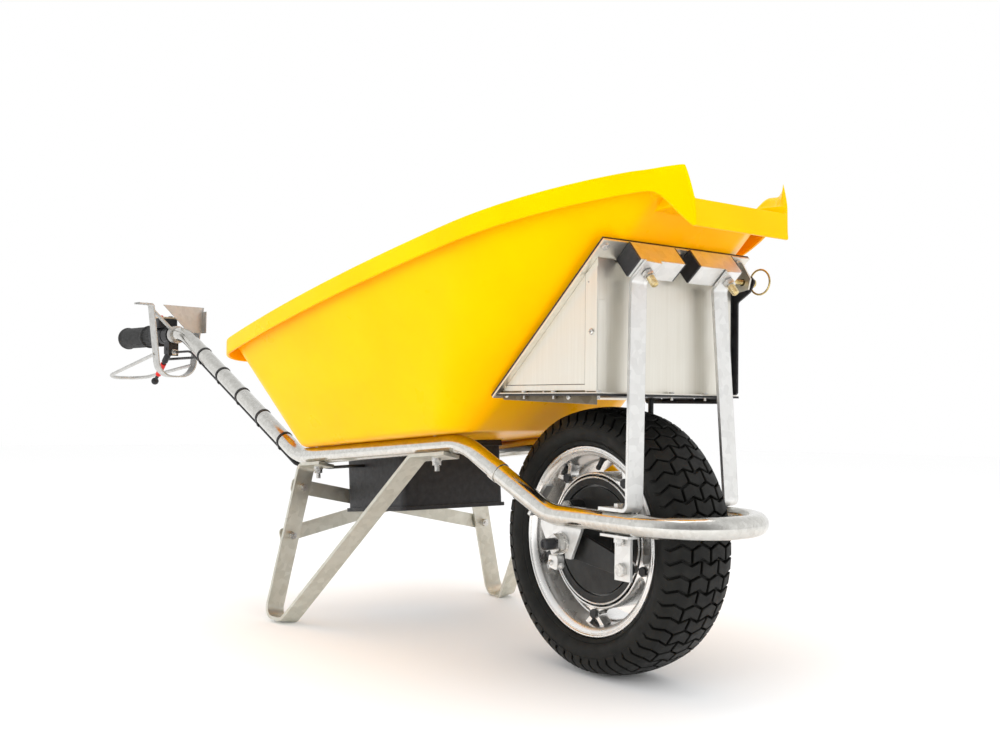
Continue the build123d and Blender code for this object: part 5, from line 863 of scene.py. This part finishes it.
# %% Tyre carcass
CARCASS_SIDES, FADE_START, FADE_RUN = 160, 14, 16
CARCASS_RUNS = [0, 12, 24, 36, CROWN_RUN - 6] + [CROWN_RUN + reach for reach in range(2, 45, 6)]
CARCASS_INSIDE = [
    (56.0, 153.5), (57.0, 151.5), (55.5, 149.0), (52.5, 146.5), (46.5, 145.9), (45.8, 131.2),
    (34.0, 131.2), (34.0, 140.0), (49.0, 158.0), (50.0, 172.0), (46.0, 184.0), (20.0, 193.0)]
CARCASS_MIDDLE = (0.0, 194.0)


def lathe(profile, sides):
    """A closed ring turned round the axle from (across, radius) points."""
    points = []
    for i in range(sides):
        turn = 2 * math.pi * i / sides
        points += [(r * math.sin(turn), y, TYRE_R + r * math.cos(turn)) for y, r in profile]
    return points, grid_faces(sides, len(profile), loop_columns=True, loop_rows=True)


def join(*parts):
    """Several shapes, each a pair of points and faces, as one."""
    points, faces = [], []
    for more, sides in parts:
        faces += [tuple(i + len(points) for i in side) for side in sides]
        points += [tuple(point) for point in more]
    return points, faces


def carcass_profile():
    """The tyre's section without its tread, from the crown down to a bead, inside and across."""
    half = []
    for run in CARCASS_RUNS:
        height = -DEPTH * (1 - ease((run - CROWN_RUN - FADE_START) / FADE_RUN))
        x, y, z = tyre_spot(run, 0, height)
        half.append((y, z - TYRE_R))
    half += CARCASS_INSIDE
    return half + [CARCASS_MIDDLE] + [(-y, r) for y, r in half[:0:-1]]


shape = join(lathe(carcass_profile(), CARCASS_SIDES), tread)
tyre = make_piece("tyre_body", *shape, "wheel", "tyre_rubber", rubber, sharp=32)
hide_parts("tyre")

# %% [markdown]
# ## Rim
# The rim is turned from alloy: a rolled double lip, a deep polished barrel with one step in it, and
# a ring round the hub. Five small forked tabs join the ring to the barrel and carry the hub bolts.
# The tabs could be cut out with booleans, but outlines pushed straight back give clean faces that
# mirror well.

# %% Rim
LIP = [(-46.4, 145.0), (-50.0, 145.3), (-51.7, 144.9), (-52.5, 143.7), (-52.4, 142.2),
       (-51.3, 141.2), (-50.5, 140.5), (-50.6, 139.7), (-51.3, 139.1), (-51.5, 137.9),
       (-50.9, 136.3), (-49.2, 133.7), (-47.6, 131.9), (-46.3, 130.7)]
BARREL = [(-44.6, 129.9), (-30.0, 127.2), (-15.5, 125.2), (-12.4, 124.5), (-11.2, 122.8),
          (-9.0, 121.7), (12.0, 119.8), (32.0, 119.2), (43.0, 121.0)]
SEAT = [(45.4, 131.8), (43.6, 131.0), (20.0, 130.9), (0.0, 130.2), (-20.0, 130.9),
        (-43.6, 131.0), (-45.4, 131.8)]
HUB_RING = [(-33.0, 100.3), (-35.2, 100.9), (-36.0, 102.2), (-35.2, 103.6), (-33.0, 104.2),
            (20.0, 104.2), (20.0, 100.3)]
HUB_BEAD = [(-34.4, 94.6), (-36.6, 95.0), (-37.5, 96.2), (-36.6, 97.5), (-34.4, 97.9)]
TAB = [(102.5, 21.0), (105.0, 13.5), (108.0, 9.8), (111.5, 8.8), (115.0, 9.8), (119.0, 13.5),
       (127.4, 22.0), (127.6, 12.0), (120.0, 4.6), (118.4, 0.0)]
TAB_COUNT, TAB_FIRST, TAB_FACE, TAB_DEPTH = 5, 54, -35.3, 17
RIM_SIDES, RING_SIDES = 128, 96


def prism(outline, along, depth):
    """An outline of points pushed along a direction."""
    count = len(outline)
    points = [Vector(p) for p in outline] + [Vector(p) + Vector(along) * depth for p in outline]
    faces = [(i, (i + 1) % count, count + (i + 1) % count, count + i) for i in range(count)]
    return points, faces + [tuple(range(count)), tuple(range(count, 2 * count))]


def rim_tab(angle):
    """One forked tab, at an angle round the axle."""
    out = Vector((math.cos(angle), 0, math.sin(angle)))
    side = Vector((-math.sin(angle), 0, math.cos(angle)))
    whole = TAB + [(r, -d) for r, d in TAB[-2::-1]]
    outline = [Vector((0, TAB_FACE, TYRE_R)) + out * r + side * d for r, d in whole]
    return prism(outline, (0, 1, 0), TAB_DEPTH)


section = LIP + BARREL + [(-y, r) for y, r in LIP[::-1]] + SEAT
shapes = [lathe(section, RIM_SIDES), lathe(HUB_RING, RING_SIDES), lathe(HUB_BEAD, RING_SIDES)]
shapes += [rim_tab(math.radians(TAB_FIRST + 360 / TAB_COUNT * k)) for k in range(TAB_COUNT)]
rim = make_piece("rim_body", *join(*shapes), "wheel", "rim_alloy", alloy, sharp=28)
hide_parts("rim")

# %% [markdown]
# ## Valve
# The valve is a rubber stem with a cap that leans out of the barrel, so that a pump reaches it. It
# is round, so its outline is turned about its own leaning line.

# %% Valve
VALVE_FOOT, VALVE_LEAN, VALVE_SIDES = (0, -19.5, TYRE_R + 126.5), (0, -14, -21), 28
VALVE = [(0, 0), (0, 6.5), (2, 6.2), (5, 4.2), (13, 3.8), (13.6, 3.2), (14.2, 3.9), (20.5, 3.9),
         (21.8, 3.0), (21.8, 0)]
stem = turned(VALVE_FOOT, VALVE_LEAN, VALVE, VALVE_SIDES)
make_piece("valve_stem", *stem, "wheel", "black_rubber", paint["soft_black"])

# %% [markdown]
# ## Grips
# Each grip is a fat rubber sleeve with a rounded end and a low flange on either side of the hand.
# It is turned about the handle tube's own line, which toes in a little towards the front. Its fine
# rings could be a relief, but at this size they show on the outline, so they are part of the turned
# profile.

# %% Grips
HANDLE_END = Vector((-1425.0, -306.0, 565.0))
HANDLE_RUN = Vector((1392.5, 206.0, 0)).normalized()
GRIP_NOSE = [(-5.9, 0), (-5.9, 15), (-5.2, 19.5), (-3.0, 23.6), (0.5, 26.0), (3.5, 26.6),
             (6.0, 26.0), (8.5, 24.6)]
GRIP_TAIL = [(109.0, 24.6), (111.0, 26.3), (114.0, 27.0), (116.8, 26.6), (118.0, 25.4),
             (118.0, 16.3), (0.2, 16.3), (0.2, 0)]
RING_COUNT, RING_START, RING_PITCH, RING_R, RING_DEPTH = 24, 12.0, 4, 24.6, 0.6
rings = [(RING_START + RING_PITCH * k, RING_R - RING_DEPTH * (k % 2)) for k in range(RING_COUNT)]
points, faces = turned(HANDLE_END, HANDLE_RUN, GRIP_NOSE + rings + GRIP_TAIL)
both = join((points, faces), (flipped(points), faces))
grips = make_piece("grip_rubber", *both, "frame", "black_rubber", paint["soft_black"], sharp=50)
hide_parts("grips")

# %% [markdown]
# ## Guard strap
# The strap is a flat bar bent to a deep U round the hand. A curve with a bevel could make it, but
# its flat side would twist in the bends, so a small section is carried along the line and kept
# square to it.

# %% Guard strap
STRAP = [(-96.0, 66.0), (-62.0, 66.0), (-42.0, -96.0), (42.0, -96.0), (62.0, 66.0)]
STRAP_BENDS, BEND_POINTS = (6, 36, 36), 10
STRAP_MIDDLE, STRAP_WIDE, STRAP_THICK, STRAP_CUT = 238.0, 27.0, 3.6, 1.0


def flat_bar():
    """A flat bar with rounded edges, bent along the guard's line."""
    left = Vector((-HANDLE_RUN.y, HANDLE_RUN.x, 0))
    centre = HANDLE_END + HANDLE_RUN * STRAP_MIDDLE
    corners = [centre + left * a + Vector((0, 0, h)) for a, h in STRAP]
    line = rounded(corners, STRAP_BENDS, BEND_POINTS)
    half, thin, cut = STRAP_WIDE / 2, STRAP_THICK / 2, STRAP_CUT
    section = [(-half, cut - thin), (cut - half, -thin), (half - cut, -thin), (half, cut - thin),
               (half, thin - cut), (half - cut, thin), (cut - half, thin), (-half, thin - cut)]
    points = []
    for i, spot in enumerate(line):
        ahead = (line[min(i + 1, len(line) - 1)] - line[max(i - 1, 0)]).normalized()
        out = HANDLE_RUN.cross(ahead)
        points += [spot + HANDLE_RUN * a + out * b for a, b in section]
    faces = grid_faces(len(line), len(section), loop_rows=True)
    last = len(points) - len(section)
    return points, faces + [tuple(range(len(section))), tuple(range(last, len(points)))]


make_piece("guard_strap", *flat_bar(), "frame", "galvanised_steel", guard_zinc)

# %% [markdown]
# ## Housing trim
# The sheet-metal housing has a folded strip down its front corner and another along its foot, and a
# dull steel strip under its floor, all held with small domed screws. That steel strip is tinted a
# dark brown grey as painted shade, standing in for the shadow under the housing and the dark tyre it
# reflects. Lines in the shader would do from afar, but real plates a millimetre or so thick catch the
# light on their edges, and thin dark fillets beside them show the joints.

# %% Housing trim
SIDE_Y, OUTWARD = -140.0, (0, -1, 0)
TRIM, TRIM_DEPTH = [(95.0, 431.5), (119.6, 431.5), (119.6, 606.0), (95.0, 598.0)], 1.7
FOOT = [(-97.0, 431.5), (94.6, 431.5), (94.6, 440.5), (-92.0, 440.5), (-95.5, 439.0)]
FOOT_DEPTH, SEAM_DEPTH = 0.9, 0.5
STRIP, STRIP_DEPTH = [(-106.0, 432.6), (-97.0, 419.0), (119.6, 412.5), (119.6, 432.6)], 1.4
CORNER_SEAM = [(93.2, 431.5), (94.7, 431.5), (94.7, 597.5), (93.2, 596.5)]
FOOT_SEAM = [(-92.0, 440.6), (93.0, 440.6), (93.0, 441.6), (-91.0, 441.6)]
seam_grey = dark_plastic("seam_grey", (0.06, 0.058, 0.05), (0.12, 0.115, 0.10), (0.5, 0.7),
                         grain=500, depth=0.0001)
# The floor strip's zinc is a dark brown grey as painted shade: it stands in for the shadow under the
# housing and the dark tyre it reflects.
strip_steel_painted_shade = zinc("strip_steel_painted_shade", (0.13, 0.105, 0.07), (0.19, 0.16, 0.115), rough=(0.34, 0.48),
                   crystals=60, edge=0.5)


def side_plate(outline, depth):
    """A thin plate on the housing's right side."""
    return prism([(x, SIDE_Y, z) for x, z in outline], OUTWARD, depth)


strips = join(side_plate(TRIM, TRIM_DEPTH), side_plate(FOOT, FOOT_DEPTH))
carrier = side_plate(STRIP, STRIP_DEPTH)
seams = join(side_plate(CORNER_SEAM, SEAM_DEPTH), side_plate(FOOT_SEAM, SEAM_DEPTH))
make_piece("housing_trim", *strips, "frame", "housing_aluminium", sheet)
make_piece("floor_strip", *carrier, "frame", "galvanised_steel", strip_steel_painted_shade)
make_piece("housing_seams", *seams, "frame", "black_rubber", seam_grey)

# %% Trim screws
CORNER_HEADS, CORNER_LIFT = [(108.5, 515, 4.6, 2.6), (101.5, 585, 1.6, 0.7)], 1.6
STRIP_HEADS = [(-88, 425.5, 4.2), (60, 423, 4.2), (2, 429.5, 2.6), (98, 428.5, 2.6)]
HEAD_SIDES, HEAD_RISE = 24, 0.55


def dome(spot, axis, radius, height):
    """A domed screw head with a round socket, set a little into the sheet."""
    profile = [(-0.6, 0), (-0.6, radius * 0.98), (height * 0.3, radius),
               (height * 0.75, radius * 0.86), (height, radius * 0.55), (height, radius * 0.42),
               (height * 0.45, radius * 0.36), (height * 0.45, 0)]
    return turned(spot, axis, profile, HEAD_SIDES)


heads = [dome((x, SIDE_Y - CORNER_LIFT, z), OUTWARD, radius, height)
         for x, z, radius, height in CORNER_HEADS]
heads += [dome((x, SIDE_Y - STRIP_DEPTH, z), OUTWARD, radius, radius * HEAD_RISE)
          for x, z, radius in STRIP_HEADS]
make_piece("trim_screws", *join(*heads), "frame", "fastener_steel", bolt_zinc)

# %% [markdown]
# ## Bolt threads
# The bolts that hold the struts have long bare threads under their nuts. A thread is a helix, but
# at this size rows of sharp rings look the same and close neatly. The bolts' ends are measured on
# the solids.

# %% Strut bolt threads
THREAD_DIR = Vector((0.6469, 0, -0.7626)).normalized()
RIDGES, PITCH, ROOT_R, CREST_R = 10, 1.5, 5.05, 5.8
TIP, TIP_R, THREAD_LONG, THREAD_SIDES = 15.7, 4.4, 15.2, 20
LOWEST_BOLT, END_DEPTH = 0.5, 0.05


def bolt_end(side):
    """The middle of a strut bolt's lower end on one side, found on the solid itself."""
    spots = [v.co / MM for v in frame["nodes"]["strut_fasteners"].data.vertices
             if v.co.z > LOWEST_BOLT and (v.co.y - WHEEL_Y) * side > 0]
    reach = max(spot.dot(THREAD_DIR) for spot in spots)
    last = [spot for spot in spots if reach - spot.dot(THREAD_DIR) < END_DEPTH]
    middle = sum(last, Vector()) / len(last)
    return middle - place(0, 0, 0) / MM


profile = [(0, 0)]
for k in range(RIDGES):
    profile += [(PITCH * k, ROOT_R), (PITCH * k + PITCH / 2, CREST_R)]
profile += [(PITCH * RIDGES, ROOT_R), (TIP, TIP_R), (TIP, 0)]
starts = [bolt_end(side) - THREAD_DIR * THREAD_LONG for side in (-1, 1)]
threads = join(*(turned(start, THREAD_DIR, profile, THREAD_SIDES) for start in starts))
make_piece("strut_threads", *threads, "frame", "yellow_zinc", yellow_zinc, sharp=60)

# %% [markdown]
# ## Axle end
# The axle ends in a dark stub with a round socket, and a small clamp with two screws sits under its
# nut. The stub is turned and the clamp is an outline pushed straight out, as they would be on a
# machine.

# %% Axle end
STUB_FOOT, STUB_SIDES = (0, -118.9, TYRE_R), 36
STUB = [(0, 0), (0, 8.8), (16.0, 8.8), (17.8, 8.2), (18.6, 7.0), (18.6, 4.9), (16.6, 4.3),
        (16.6, 0)]
CLAMP = [(-13, 187), (-15, 180), (-13, 169), (3, 166), (6, 169), (7, 182), (5, 187)]
CLAMP_Y, CLAMP_DEPTH = -102.7, 13
FACE_SCREW = ((-8, -115.5, 176), OUTWARD, 4.4, 4.0)
FRONT_SCREW = ((7, -109, 173), (1, 0, -0.2), 4.2, 5.0)
shape = turned(STUB_FOOT, OUTWARD, STUB, STUB_SIDES)
stub = make_piece("axle_stub", *shape, "frame", "lever_black", paint["satin_black"])
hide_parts("axle_cap")
plate = prism([(x, CLAMP_Y, z) for x, z in CLAMP], OUTWARD, CLAMP_DEPTH)
clamp = join(plate, dome(*FACE_SCREW), dome(*FRONT_SCREW))
make_piece("axle_clamp", *clamp, "frame", "galvanised_steel", bar_zinc_painted_light)
